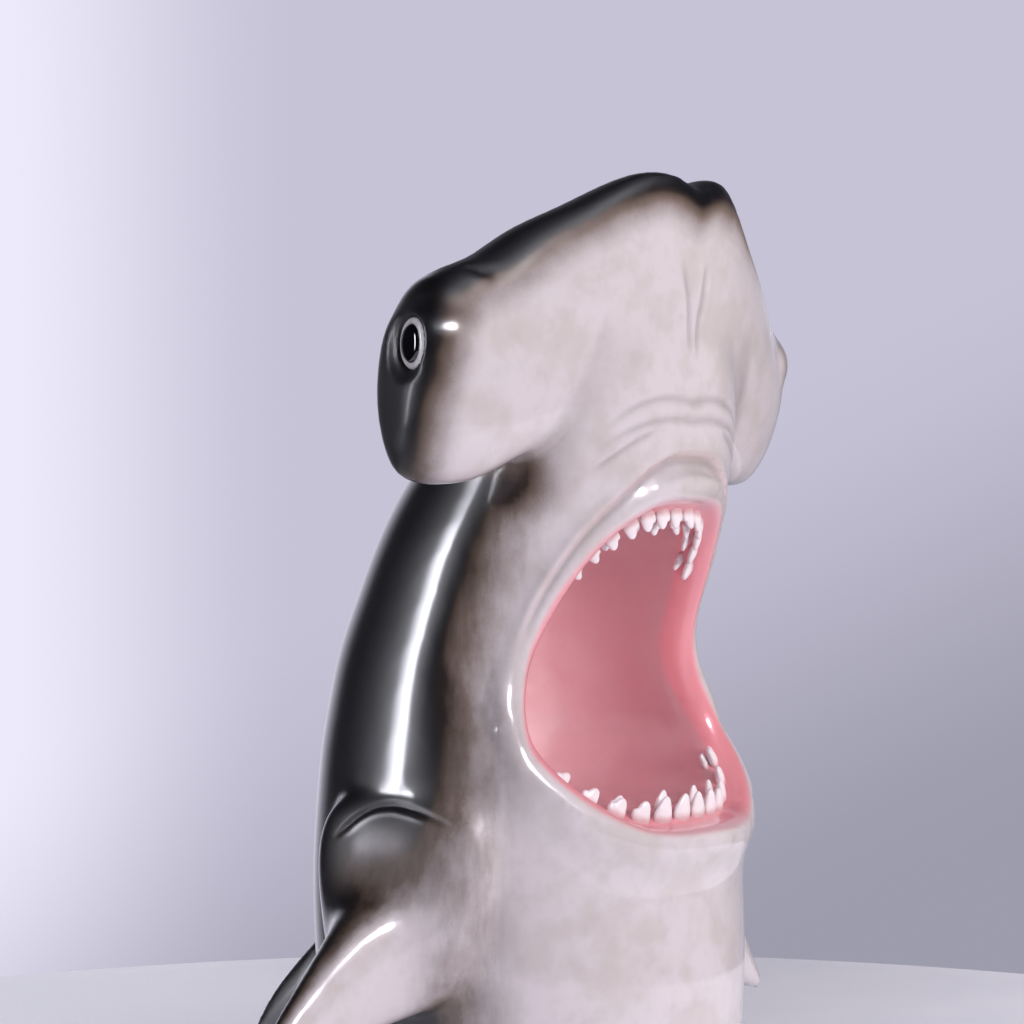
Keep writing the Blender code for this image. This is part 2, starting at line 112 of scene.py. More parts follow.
# How finely the casting is lofted and fused, and how far its seams are softened
TRUNK_RINGS = 120
TRUNK_SIDES = 96
FUSE_STEP = 0.0065
SOFTEN_ROUNDS = 11
CHIN_ROUNDS = 14
# How far below the rim each softened band starts and ends, and how high up it reaches
CHIN_BANDS = [
    (0.026, 0.060, 0.47), (0.022, 0.068, 0.47), (0.030, 0.056, 0.47), (0.020, 0.076, 0.47),
    (0.008, 0.080, 0.425),
]
FINE_RADIUS = 0.030
ALL_AXES = {"use_axis_x": True, "use_axis_y": True, "use_axis_z": True}

# Each station of the trunk: its height, its half-width as a share of the widest, the Y of its widest
# line, and how far it reaches behind and in front of that line, in mm, and how square its front is
Station = namedtuple("Station", "height width middle back front square")
TRUNK = [
    Station(-20, 0.85, 0, 208, 195, 2),
    Station(110, 0.94, 4, 229, 215, 2),
    Station(250, 0.99, 6, 242, 226, 2),
    Station(363, 1.0, 6, 244, 222, 2),
    Station(430, 0.99, 4, 241, 218, 2),
    Station(480, 0.975, 2, 238, 194, 2),
    Station(530, 0.95, -1, 232, 145, 2),
    Station(575, 0.925, -5, 226, 122, 2),
    Station(640, 0.885, -19, 216, 127, 2),
    Station(700, 0.85, -35, 206, 134, 2),
    Station(760, 0.79, -55, 193, 138, 2.15),
    Station(830, 0.72, -80, 156, 118, 2.5),
    Station(900, 0.63, -108, 108, 90, 2.6),
    Station(965, 0.50, -130, 60, 64, 2.6),
    Station(1030, 0.32, -150, 30, 35, 2.6),
]

# Top and lower edge of the hammer: share of the half-span, height in mm
HAMMER_TOP = [
    (0.0, 1078), (0.05, 1084), (0.14, 1091), (0.30, 1078), (0.47, 1049), (0.63, 1021), (0.76, 992),
    (0.82, 984), (0.88, 974), (0.93, 958), (0.965, 936), (0.99, 905), (1.0, 860),
]
HAMMER_FOOT = [
    (0.0, 830), (0.25, 815), (0.47, 806), (0.63, 784), (0.75, 766), (0.85, 761),
    (0.91, 762), (0.95, 767), (0.98, 777), (1.0, 798),
]

# Right half of the mouth's rim seen from the front, from the top to the bottom:
# share of the half-width, share of the height
MOUTH_RIM = [
    (0.0, 1.0), (0.30, 0.99), (0.50, 0.935), (0.63, 0.86), (0.75, 0.735), (0.82, 0.60),
    (0.89, 0.46), (0.97, 0.33), (0.99, 0.25), (0.94, 0.172), (0.81, 0.093), (0.63, 0.034),
    (0.40, 0.004), (0.0, 0.0),
]

# The mouth hollow from the lips to the throat, ring by ring: how far it is drawn in as a share of the gum's
# width, how far back it is as a share of the gum's depth, how far it has turned from the rim's own curve to
# a flat ring, and how far in front of the hollow's back that flat ring is
Hollow = namedtuple("Hollow", "inset depth flat before_back")
MOUTH_HOLLOW = [
    Hollow(0.0, -5.0, 0.0, 0.0),
    Hollow(0.0, 0.0, 0.0, 0.0),
    Hollow(0.1, 0.6, 0.0, 0.0),
    Hollow(1.0, 1.0, 0.0, 0.0),
    Hollow(0.75, 1.7, 0.0, 0.0),
    Hollow(0.7, 1.7, 0.8, 0.12),
    Hollow(1.4, 1.7, 1.0, 0.05),
    Hollow(2.8, 1.7, 1.0, 0.01),
    Hollow(4.5, 1.7, 1.0, 0.0),
]

# Side fin: share of the span, top and lower edge in mm, half-thickness in mm
PECTORAL = [
    (0.28, 442, 215, 118), (0.42, 442, 218, 122), (0.485, 438, 218, 118), (0.52, 398, 215, 100),
    (0.56, 352, 210, 70), (0.62, 326, 202, 44), (0.72, 292, 184, 28), (0.84, 244, 160, 19),
    (0.94, 192, 142, 12), (1.0, 152, 134, 7),
]

# Back fin: share of the reach, top and lower edge in mm, half-thickness in mm
DORSAL = [
    (0.36, 335, 92, 26), (0.56, 318, 96, 24), (0.66, 280, 100, 20), (0.78, 234, 104, 16),
    (0.90, 184, 102, 12), (0.97, 148, 100, 9), (1.0, 128, 102, 7),
]

# Each row of teeth: its middle as a share of the way round the rim, how far it reaches to each side along
# the rim, how many teeth it has, how far behind the rim it stands, its forward lean, its size, how many
# teeth in its middle are pointed, and whether the low cusps look away from its middle (1) or towards it (-1)
Row = namedtuple("Row", "name middle reach count depth lean size pointed cusp")
TOOTH_ROWS = [
    Row("tooth_upper_outer", 0.0, 0.165, 13, 0.020, 10, 0.92, 0, -1),
    Row("tooth_upper_inner", 0.0, 0.150, 8, 0.033, 4, 0.80, 0, -1),
    Row("tooth_lower_outer", 0.5, 0.192, 12, 0.032, 8, 1.1, 4, 1),
    Row("tooth_lower_inner", 0.5, 0.180, 6, 0.045, 4, 0.85, 2, 1),
]

# Lobes of a tooth, each a loft from root to tip: height, how far its middle is to the low cusp's side,
# half-width and half-thickness as shares of the tooth's height, width and thickness
MAIN_LOBE = [
    (-0.48, -0.02, 0.44, 0.47), (0.0, -0.05, 0.48, 0.54), (0.24, -0.08, 0.43, 0.52),
    (0.48, -0.13, 0.35, 0.44),
    (0.64, -0.16, 0.28, 0.35), (0.75, -0.18, 0.19, 0.26), (0.82, -0.18, 0.08, 0.14),
]
LOW_LOBE = [
    (-0.30, 0.18, 0.26, 0.40), (0.10, 0.22, 0.27, 0.44), (0.30, 0.25, 0.23, 0.38), (0.42, 0.27, 0.16, 0.28),
    (0.48, 0.27, 0.08, 0.15),
]
POINTED_LOBE = [
    (-0.48, 0.0, 0.45, 0.47), (0.0, 0.0, 0.52, 0.54), (0.22, -0.01, 0.51, 0.53), (0.46, -0.04, 0.43, 0.47),
    (0.66, -0.08, 0.32, 0.38), (0.82, -0.11, 0.22, 0.28), (0.91, -0.12, 0.13, 0.18),
    (0.96, -0.12, 0.05, 0.09),
]
TOOTH_STEP = 0.0011

# Profile of an eye: share of the radius, height as a share of the dome
EYE_PROFILE = [
    (0.0, 1.0), (0.20, 0.99), (0.40, 0.95), (0.55, 0.87), (0.65, 0.74), (0.71, 0.56), (0.735, 0.38),
    (0.75, 0.32),
    (0.765, 0.36), (0.80, 0.43), (0.86, 0.45), (0.92, 0.38), (0.97, 0.22), (1.0, 0.02),
]
PUPIL_SHARE = 0.745
EYE_STEPS = 72

# Folds that are pressed into the casting, in mm. The face's folds are seen from the front as X and height;
# each is on one side and is repeated on the other.
FACE_FOLD = [(-27, 1004), (-21, 985), (-13, 955), (-8, 925), (-8, 893)]
BROW_WRINKLES = [
    [(-138, 808), (-122, 826), (-97, 842), (-66, 851), (-33, 853), (0, 849)],
    [(-142, 791), (-121, 808), (-92, 822), (-60, 829), (-30, 831), (0, 829)],
    [(-140, 774), (-118, 792), (-92, 808), (-62, 820)],
]
NOTCH_FOLD = [(-283, 985), (-273, 977), (-262, 968)]
# The lip furrow keeps beside the rim: share of the way round it, and its distance from it
LIP_FURROW = [(0.0, 50), (0.03, 48), (0.05, 41), (0.075, 31), (0.10, 26), (0.14, 22), (0.19, 19), (0.24, 17)]
# The crease over a side fin's root, seen from the side as Y and height
FIN_CREASE = [
    (-68, 408), (-58, 413), (-46, 418), (-22, 425), (0, 429), (19, 430), (40, 426), (57, 417), (73, 404),
    (87, 392),
]

# The black of the hammer: how far below its leading edge it begins and ends, how much wider it is in the
# middle, how far out along an eye's line of sight it begins, how much further at the wing's foot, and how
# wide its soft side is
EDGE_BLACK = 0.012
EDGE_PALE = 0.062
EDGE_MIDDLE_WIDER = 0.008
TIP_PALE = 0.191
TIP_FOOT_FURTHER = 0.020
TIP_BAND = 0.057
END_MATT = 0.8

# The camera stands level beside the belly's left, as in the photograph
CAMERA_AZIMUTH = radians(-55)
CAMERA_DISTANCE = 3.2
CAMERA_HEIGHT = 0.7568
CAMERA_ASIDE = 0.0308
CAMERA_LENS = 102.3
CAMERA_DOWN = atan(22 / 2909)

# The soft lamps: where each one stands, what it points at, its side and its tint
Lamp = namedtuple("Lamp", "name place target size tint")
LAMPS = [
    Lamp("key", (0.05, -2.8, 1.10), (0.0, 0.0, 0.68), 1.1, "fff9f8"),
    Lamp("side", (-2.3, -1.2, 1.5), (0.0, -0.1, 0.7), 1.4, "f6f5ff"),
    Lamp("edge", (2.4, -1.2, 1.0), (0.1, -0.1, 0.8), 0.8, "fffafa"),
]
FLOOR_RADIUS = 1.55
FLOOR_SIDES = 128
NOISE_ROUGHNESS = 0.55

# The black of the trunk: how far behind its widest line it begins and how wide its soft side is, low down
# and higher up, and between which heights the one turns into the other
LOWER_PALE = -0.138
LOWER_BAND = 0.108
HIGHER_PALE = -0.095
HIGHER_BAND = 0.080
FLANK_CHANGE = (0.48, 0.62)

# Painted shade, sprayed darker where the hammer meets the neck under its trailing edge, on both sides: its
# middle and its reach
HAMMER_SHADE_PLACE = (0.188, -0.080, 0.775)
HAMMER_SHADE_REACH = (0.050, 0.052, 0.055)

# Where the gloss sees the middle of the tall strip lamp and of the round lamp
STRIP_WAY = Vector((-0.73, 0.68, 0)).normalized()
SPOT_WAY = Vector((-0.25, -0.66, 0.71)).normalized()


def linear(hex_colour):
    """Linear RGBA of an sRGB hex colour."""
    rgb = [int(hex_colour[i : i + 2], 16) / 255 for i in (0, 2, 4)]
    return (*[c / 12.92 if c <= 0.04045 else ((c + 0.055) / 1.055) ** 2.4 for c in rgb], 1.0)


def colour(name, description, hex_colour):
    return FloatVectorProperty(
        name=name, description=description, default=linear(hex_colour), size=4, min=0, max=1, subtype="COLOR"
    )


def length(name, description, default):
    return FloatProperty(
        name=name, description=description, default=default, subtype="DISTANCE", unit="LENGTH"
    )


def brightness(name, description, default, unit="NONE"):
    return FloatProperty(name=name, description=description, default=default, min=0, unit=unit)


class SharkFolds(bpy.types.PropertyGroup):
    """How deep the folds of the casting are."""

    wrinkle: length("Wrinkle", "Depth of the wrinkles over the upper lip", 0.0019)
    face: length("Face fold", "Depth of the two upright folds of the face", 0.0020)
    furrow: length("Lip furrow", "Depth of the furrow round the upper lip", 0.0060)
    crease: length("Fin crease", "Depth of the crease over a side fin", 0.0030)
    lid: length("Eye lid", "Height of the thin lid round an eye", 0.0030)


class SharkPaint(bpy.types.PropertyGroup):
    """Colours of the airbrushed paint, with the painted shade and light laid in among them."""

    belly: colour("Belly", "Pale belly and face", "d3cace")
    belly_warm: colour("Warm cloud", "Soft warm clouds in the belly's white", "c9c0c0")
    flank: colour("Flank", "Grey-brown overspray of the flanks", "9a8f8e")
    brown: colour("Brown edge", "Brown-black edge of the back's colour", "56483f")
    back: colour("Back", "Blue-black back", "0d0d11")
    lip: colour("Lip", "Pink of the rim", "e08c96")
    gum: colour("Gum", "Pink of the gum inside the rim", "ee9ba4")
    # The mouth's walls past the gum are greyer as painted shade, and the throat is paler as painted light
    # falling on the deep back wall
    mouth: colour("Mouth", "Greyer pink of the mouth's walls", "d5a3aa")
    throat: colour("Throat", "Paler pink of the throat", "ffdce1")
    flush: colour("Flush", "Pinkish brown breathed on beside the lip furrow", "c99f9b")
    # Painted shade: the warm grey laid into the folds, the furrow and the fin crease, where shadow falls in
    # them
    line: colour("Shadow line", "Warm grey sprayed in the folds", "7b7174")


class SharkParts(bpy.types.PropertyGroup):
    """Finishes of the teeth and the eyes."""

    tooth: colour("Tooth", "Off-white of the teeth", "ece5e9")
    # Painted shade where a tooth leaves the gum
    tooth_root: colour("Tooth root", "Pinkish grey where a tooth meets the gum", "cda9ad")
    pupil: colour("Pupil", "Black of the eye", "050507")
    ring: colour("Eye ring", "White of the eye's ring", "f4f0f2")


class SharkStage(bpy.types.PropertyGroup):
    """The studio."""

    # The wall's colours carry painted light: brighter on the left, darker low on the right
    wall_left: colour("Wall, left", "Pale lavender wall, bright on the left", "efecfd")
    wall: colour("Wall", "Pale lavender grey wall behind the figure", "c6c3d6")
    wall_shaded_low: colour("Wall, low", "The wall low on the right", "9d9cac")
    floor: colour("Floor", "Pale floor", "efeef8")
    room: colour("Room", "Dim side of the studio that gloss reflects", "1b1a20")
    fill: brightness("Fill", "Strength of the studio's soft fill", 0.30)
    key: brightness("Key", "Power of the wide front lamp", 54, "POWER")
    side: brightness("Side", "Power of the soft side lamp", 16, "POWER")
    edge: brightness("Edge", "Power of the lamp on the far side", 22, "POWER")
    strip: brightness("Strip", "Brightness of the tall strip in the gloss", 26)
    spot: brightness("Spot", "Brightness of the round lamp in the gloss", 40)


def smooth_curve(points):
    """A function of one value through the points, a natural cubic spline, held at its end values."""
    x, y = np.array(points, float).T
    count = len(x)
    step = np.diff(x)
    slope = np.diff(y) / step
    system = np.eye(count)
    right = np.zeros(count)
    for i in range(1, count - 1):
        system[i, i - 1 : i + 2] = step[i - 1], 2 * (step[i - 1] + step[i]), step[i]
        right[i] = 6 * (slope[i] - slope[i - 1])
    bend = np.linalg.solve(system, right)

    def value(at):
        at = np.clip(at, x[0], x[-1])
        i = np.clip(np.searchsorted(x, at) - 1, 0, count - 2)
        before, after = at - x[i], x[i + 1] - at
        return (
            (bend[i] * after**3 + bend[i + 1] * before**3) / (6 * step[i])
            + (y[i] / step[i] - bend[i] * step[i] / 6) * after
            + (y[i + 1] / step[i] - bend[i + 1] * step[i] / 6) * before
        )

    return value


def table_curve(rows, column, scale=MM):
    return smooth_curve([(row[0], row[column] * scale) for row in rows])


TRUNK_WIDTH = smooth_curve([(s.height * MM, s.width * BODY_HALF_WIDTH) for s in TRUNK])
TRUNK_MIDDLE = smooth_curve([(s.height * MM, s.middle * MM) for s in TRUNK])
TRUNK_BACK = smooth_curve([(s.height * MM, s.back * MM) for s in TRUNK])
TRUNK_FRONT = smooth_curve([(s.height * MM, s.front * MM) for s in TRUNK])
TRUNK_SQUARENESS = smooth_curve([(s.height * MM, s.square) for s in TRUNK])


def smooth_step(low, high, value):
    share = np.clip((value - low) / (high - low), 0, 1)
    return share * share * (3 - 2 * share)


def bell(value, middle, width):
    """1 at the middle, fading to both sides over about a width."""
    return np.exp(-(((value - middle) / width) ** 2))


def raise_to(marks, name, value):
    marks[name] = np.maximum(marks[name], value)


def add_object(name, mesh, *finishes):
    obj = bpy.data.objects.new(name, mesh)
    bpy.context.scene.collection.objects.link(obj)
    for finish in finishes:
        mesh.materials.append(finish)
    return obj


def mesh_of(form, name):
    mesh = bpy.data.meshes.new(name)
    form.to_mesh(mesh)
    form.free()
    return mesh


def loft(rings, closed_path=False):
    """A closed mesh through rings of points: each ring is joined to the next and the ends are capped."""
    form = bmesh.new()
    loops = []
    for ring in rings:
        verts = [form.verts.new(point) for point in ring]
        loops.append([form.edges.new((verts[i - 1], verts[i])) for i in range(len(verts))])
    pairs = list(zip(loops, loops[1:]))
    if closed_path:
        pairs.append((loops[-1], loops[0]))
    for first, second in pairs:
        bmesh.ops.bridge_loops(form, edges=first + second)
    if not closed_path:
        bmesh.ops.edgeloop_fill(form, edges=loops[0])
        bmesh.ops.edgeloop_fill(form, edges=loops[-1])
    bmesh.ops.recalc_face_normals(form, faces=form.faces)
    return mesh_of(form, "loft")


def joined(meshes):
    """One mesh that holds the faces of all of them."""
    form = bmesh.new()
    for mesh in meshes:
        form.from_mesh(mesh)
    return mesh_of(form, "joined")


def with_modifiers(mesh, *settings):
    """The mesh after a chain of modifiers; each is given as its type and its values."""
    obj = add_object("work", mesh)
    for kind, values in settings:
        modifier = obj.modifiers.new(kind.title(), kind)
        for key, value in values.items():
            setattr(modifier, key, value)
    result = bpy.data.meshes.new_from_object(obj.evaluated_get(bpy.context.evaluated_depsgraph_get()))
    bpy.data.objects.remove(obj)
    return result


def cut_from(mesh, cutter_mesh):
    cutter = add_object("cutter", cutter_mesh)
    settings = {"operation": "DIFFERENCE", "object": cutter, "solver": "EXACT"}
    result = with_modifiers(mesh, ("BOOLEAN", settings))
    bpy.data.objects.remove(cutter)
    return result


def superellipse(angle, power):
    """Unit outline between an ellipse (2) and a rectangle (large)."""
    c, s = cos(angle), sin(angle)
    return np.sign(c) * abs(c) ** (2 / power), np.sign(s) * abs(s) ** (2 / power)


def turns(count):
    return [2 * pi * i / count for i in range(count)]


def trunk_mesh():
    low, high = TRUNK[0].height * MM, TRUNK[-1].height * MM
    rings = []
    for z in np.linspace(low, high, TRUNK_RINGS):
        width, middle = TRUNK_WIDTH(z), TRUNK_MIDDLE(z)
        back, front, square = TRUNK_BACK(z), TRUNK_FRONT(z), TRUNK_SQUARENESS(z)
        ring = []
        for t in turns(TRUNK_SIDES):
            across, towards_back = superellipse(t, 2 if sin(t) > 0 else square)
            ring.append((width * across, middle + (back if sin(t) > 0 else front) * towards_back, z))
        rings.append(ring)
    return loft(rings)


def trunk_front_y(x, z):
    """Y of the trunk's belly side at a place seen from the front."""
    share = min(abs(x) / TRUNK_WIDTH(z), 0.999)
    square = TRUNK_SQUARENESS(z)
    return TRUNK_MIDDLE(z) - TRUNK_FRONT(z) * (1 - share**square) ** (1 / square)


def hammer_place(share):
    """Middle line of the hammer at a signed share of its half-span, and its backward normal."""
    x = share * HAMMER_HALF_SPAN
    swept = HAMMER_SWEEP * abs(share) ** HAMMER_SWEEP_CURVE
    slope = HAMMER_SWEEP / HAMMER_HALF_SPAN * HAMMER_SWEEP_CURVE * abs(share) ** (HAMMER_SWEEP_CURVE - 1)
    turn = atan2(np.sign(share) * slope, 1)
    return Vector((x, HAMMER_MIDDLE_Y + swept, 0)), Vector((-sin(turn), cos(turn), 0))


def hammer_half_thickness(share):
    """Full along the wing, and rounded off at its tip."""
    from_tip = (1 - abs(share)) * HAMMER_HALF_SPAN
    full = HAMMER_THICKNESS / 2
    if from_tip >= HAMMER_TIP_ROUND:
        return full
    return full - HAMMER_TIP_ROUND + (HAMMER_TIP_ROUND**2 - (HAMMER_TIP_ROUND - from_tip) ** 2) ** 0.5


def hammer_mesh():
    top, foot = table_curve(HAMMER_TOP, 1), table_curve(HAMMER_FOOT, 1)
    wing = np.concatenate([np.linspace(0, 0.9, 40), 1 - 0.1 * np.linspace(0.95, 0, 20) ** 2])
    rings = []
    for share in np.concatenate([-wing[:0:-1], wing]):
        place, back = hammer_place(share)
        high, low = top(abs(share)), foot(abs(share))
        half_height, middle = (high - low) / 2, (high + low) / 2
        thick = hammer_half_thickness(share)
        edge_forward = HAMMER_EDGE_FORWARD * (1 - share**2) ** HAMMER_EDGE_FADE
        ring = []
        for t in turns(72):
            across, up = superellipse(t, HAMMER_SQUARENESS)
            thinned = 1 + HAMMER_FOOT_THINNING * min(up, 0)
            forward = edge_forward * max(up, 0) ** 3
            raised = Vector((0, -forward, middle + half_height * up))
            ring.append(place + back * thick * across * thinned + raised)
        rings.append(ring)
    return loft(rings)


def mouth_rim(count):
    """Points of the rim on the trunk's surface, once round, starting at the top and going to +X."""
    width = smooth_curve([(i, row[0]) for i, row in enumerate(MOUTH_RIM)])
    height = smooth_curve([(i, row[1]) for i, row in enumerate(MOUTH_RIM)])
    half = np.linspace(0, len(MOUTH_RIM) - 1, 400)
    x = width(half) * MOUTH_HALF_WIDTH
    z = MOUTH_BOTTOM + height(half) * (MOUTH_TOP - MOUTH_BOTTOM)
    x, z = np.concatenate([x, -x[-2:0:-1]]), np.concatenate([z, z[-2:0:-1]])
    steps = np.hypot(np.diff(x, append=x[0]), np.diff(z, append=z[0]))
    along = np.concatenate([[0], np.cumsum(steps)])
    even = np.linspace(0, along[-1], count, endpoint=False)
    x = np.interp(even, along, np.append(x, x[0]))
    z = np.interp(even, along, np.append(z, z[0]))
    return [Vector((a, trunk_front_y(a, b) - LIP_PROUD, b)) for a, b in zip(x, z)]


def inward(rim, i):
    """Unit vector from a rim point towards the mouth's middle, in the front view."""
    along = rim[(i + 1) % len(rim)] - rim[i - 1]
    return Vector((-along.z, 0, along.x)).normalized() * -1


def mouth_ring(rim, hollow):
    """One ring of the mouth hollow: the rim drawn in and pushed back, the lower jaw's part further."""
    ring = []
    for i, point in enumerate(rim):
        lower = ((MOUTH_TOP - point.z) / (MOUTH_TOP - MOUTH_BOTTOM)) ** 2
        moved = point + inward(rim, i) * hollow.inset * GUM_WIDTH
        curved_y = point.y + hollow.depth * GUM_DEPTH * (1 + LOWER_JAW_DEEPER * lower)
        flat_y = CAVITY_BACK - hollow.before_back
        ring.append(Vector((moved.x, curved_y * (1 - hollow.flat) + flat_y * hollow.flat, moved.z)))
    return ring


def mouth_cutter_mesh():
    """The hollow of the mouth: out through the lips, in past the gum, wider behind it, closed at its end."""
    rim = mouth_rim(144)
    return loft([mouth_ring(rim, hollow) for hollow in MOUTH_HOLLOW])


def lip_mesh():
    """The rolled lip: a round bead that follows the rim."""
    rim = mouth_rim(160)
    rings = []
    for i, point in enumerate(rim):
        side = -inward(rim, i)
        back = Vector((0, 1, 0))
        set_back = LIP_SIDE_SET_BACK * abs(side.x) + LIP_SET_BACK * abs(side.z)
        centre = point + side * LIP_RADIUS * abs(side.z) + back * LIP_RADIUS * set_back
        radius = LIP_RADIUS * (1 + LIP_CORNER_SWELL * 2 * abs(side.x * side.z))
        rings.append([centre + (side * cos(t) + back * sin(t)) * radius for t in turns(24)])
    return loft(rings, closed_path=True)


def eye_line(side):
    """The middle of an eye on the hammer's end plane, and the way it looks."""
    middle, back = hammer_place(side)
    outward = Vector((back.y, -back.x, 0)) * side
    return middle - back * EYE_FORWARD + Vector((0, 0, EYE_HEIGHT)), outward


def eye_boss_mesh(side):
    """The rounded swelling at the hammer's end that carries the eye."""
    centre, outward = eye_line(side)
    form = bmesh.new()
    middle = centre - outward * (EYE_BOSS_RADIUS - EYE_BOSS_PROUD)
    bmesh.ops.create_uvsphere(
        form, u_segments=48, v_segments=24, radius=EYE_BOSS_RADIUS, matrix=Matrix.Translation(middle)
    )
    return mesh_of(form, "boss")


def fin_mesh(rows, place):
    """A fin through sections that stand along Z; place gives the point at a share, a height and a side."""
    top, foot, thick = table_curve(rows, 1), table_curve(rows, 2), table_curve(rows, 3)
    rings = []
    for share in np.linspace(rows[0][0], rows[-1][0], 44):
        half, middle = (top(share) - foot(share)) / 2, (top(share) + foot(share)) / 2
        ring = []
        for t in turns(48):
            towards_side, up = superellipse(t, FIN_SQUARENESS)
            across = thick(share) * towards_side * (FIN_BACK_EDGE + (1 - FIN_BACK_EDGE) * (1 + up) / 2)
            ring.append(place(share, middle + half * up, across))
        rings.append(ring)
    return loft(rings)


def pectoral_mesh(side):
    def place(share, z, across):
        return Vector((side * share * PECTORAL_SPAN, PECTORAL_MIDDLE_Y + across, z))

    return fin_mesh(PECTORAL, place)


def dorsal_mesh():
    return fin_mesh(DORSAL, lambda share, z, across: Vector((across, share * DORSAL_REACH, z)))


def level_base(mesh):
    """The mesh cut off flat at the floor."""
    form = bmesh.new()
    form.from_mesh(mesh)
    everything = list(form.verts) + list(form.edges) + list(form.faces)
    cut = bmesh.ops.bisect_plane(
        form, geom=everything, plane_co=(0, 0, 0), plane_no=(0, 0, 1), clear_inner=True
    )
    rim = [part for part in cut["geom_cut"] if isinstance(part, bmesh.types.BMEdge)]
    bmesh.ops.edgeloop_fill(form, edges=rim)
    bmesh.ops.recalc_face_normals(form, faces=form.faces)
    form.to_mesh(mesh)
    form.free()


def casting_mesh():
    """The trunk with its mouth hollow, and the hammer, lips and fins that are fused to it."""
    trunk = cut_from(trunk_mesh(), mouth_cutter_mesh())
    pairs = [shape(side) for shape in (eye_boss_mesh, pectoral_mesh) for side in (-1, 1)]
    parts = joined([trunk, hammer_mesh(), lip_mesh(), dorsal_mesh(), *pairs])
    fused = with_modifiers(
        parts,
        ("REMESH", {"mode": "VOXEL", "voxel_size": FUSE_STEP}),
        ("SMOOTH", {"factor": 0.5, "iterations": SOFTEN_ROUNDS}),
    )
    level_base(fused)
    return fused


def surface_of(mesh):
    form = bmesh.new()
    form.from_mesh(mesh)
    tree = BVHTree.FromBMesh(form)
    form.free()
    return tree


def points_of(mesh, what="co"):
    """Places or normals of a mesh's points as rows."""
    values = np.empty(len(mesh.vertices) * 3, np.float32)
    mesh.vertices.foreach_get(what, values)
    return values.reshape(-1, 3).astype(float)


def drawn(skin, line, look):
    """A line of places in mm laid on the skin, looked at along a direction, with its smooth points."""
    points = np.array(line, float) * MM
    along = np.arange(len(points))
    fine = np.linspace(0, len(points) - 1, 12 * len(points))
    first, height = (smooth_curve(np.c_[along, points[:, i]])(fine) for i in (0, 1))
    laid = []
    for a, z in zip(first, height):
        start = Vector((a, 0, z)) if look.y else Vector((0, a, z))
        hit = skin.ray_cast(start - look, look)[0]
        if hit is not None:
            laid.append(hit)
    return np.array(laid)


def mirrored(line):
    return line * np.array([-1, 1, 1])


def near_line(points, line):
    """How far each point is from the line, how far along the line it is (0 to 1), and its nearest place."""
    gap = np.full(len(points), 1.0)
    along = np.zeros(len(points))
    nearest = np.zeros((len(points), 3))
    low, high = line.min(0) - 0.06, line.max(0) + 0.06
    close = np.where(((points > low) & (points < high)).all(1))[0]
    here = points[close]
    steps = np.linalg.norm(np.diff(line, axis=0), axis=1)
    run = np.concatenate([[0], np.cumsum(steps)])
    for i, (a, b) in enumerate(zip(line, line[1:])):
        share = np.clip(((here - a) @ (b - a)) / max(steps[i] ** 2, 1e-12), 0, 1)
        place = a + share[:, None] * (b - a)
        far = np.linalg.norm(here - place, axis=1)
        better = far < gap[close]
        chosen = close[better]
        gap[chosen] = far[better]
        along[chosen] = (run[i] + share[better] * steps[i]) / run[-1]
        nearest[chosen] = place[better]
    return gap, along, nearest


def faded(along, share):
    """1 along a line, running out to 0 over a share of it at both ends."""
    return smooth_step(0, share, along) * smooth_step(0, share, 1 - along)


def furrow_line(skin, rim):
    """The lip furrow: places beside the upper rim, laid on the skin from the front."""
    beside = table_curve(LIP_FURROW, 1)
    reach = LIP_FURROW[-1][0]
    laid = []
    for share in np.linspace(-reach, reach, 90):
        i = round(share * len(rim)) % len(rim)
        place = rim[i] - inward(rim, i) * beside(abs(share))
        hit = skin.ray_cast(place - Vector((0, 1, 0)), Vector((0, 1, 0)))[0]
        laid.append(hit)
    return np.array(laid)


def melt_chin(mesh):
    """Softens the step between the lower lip and the chin, which the fused parts leave too sharp."""
    form = bmesh.new()
    form.from_mesh(mesh)
    form.verts.ensure_lookup_table()
    points = points_of(mesh)
    inside = inside_rim(points)
    for low, high, top in CHIN_BANDS:
        below = (inside < -low) & (inside > -high) & (points[:, 2] < top) & (points[:, 1] < 0)
        chosen = [form.verts[i] for i in np.where(below)[0]]
        for _ in range(CHIN_ROUNDS):
            bmesh.ops.smooth_vert(form, verts=chosen, factor=0.5, **ALL_AXES)
    form.to_mesh(mesh)
    form.free()


def fold_lines(skin):
    """Every line that is pressed into the casting, by kind."""
    front = Vector((0, 1, 0))
    lines = {"furrow": [furrow_line(skin, mouth_rim(480))], "face": [], "wrinkle": [], "notch": []}
    one_side = [("face", FACE_FOLD), ("notch", NOTCH_FOLD)] + [("wrinkle", line) for line in BROW_WRINKLES]
    for kind, line in one_side:
        laid = drawn(skin, line, front)
        crosses = line[-1][0] == 0
        lines[kind] += [np.concatenate([laid, mirrored(laid)[-2::-1]])] if crosses else [laid, mirrored(laid)]
    crease = drawn(skin, FIN_CREASE, Vector((1, 0, 0)))
    lines["crease"] = [crease, mirrored(crease)]
    return lines


def refine(mesh, wanted, rounds):
    """Faces cut finer where wanted says so; it is given the middles of the edges."""
    form = bmesh.new()
    form.from_mesh(mesh)
    for _ in range(rounds):
        edges = list(form.edges)
        middles = np.array([(e.verts[0].co + e.verts[1].co)[:] for e in edges]) / 2
        chosen = [edge for edge, take in zip(edges, wanted(middles)) if take]
        bmesh.ops.subdivide_edges(form, edges=chosen, cuts=1, use_grid_fill=True)
        touched = list({vert for edge in chosen if edge.is_valid for vert in edge.verts})
        for _ in range(2):
            bmesh.ops.smooth_vert(form, verts=touched, factor=0.4, **ALL_AXES)
    bmesh.ops.triangulate(form, faces=[face for face in form.faces if len(face.verts) > 4])
    form.to_mesh(mesh)
    form.free()


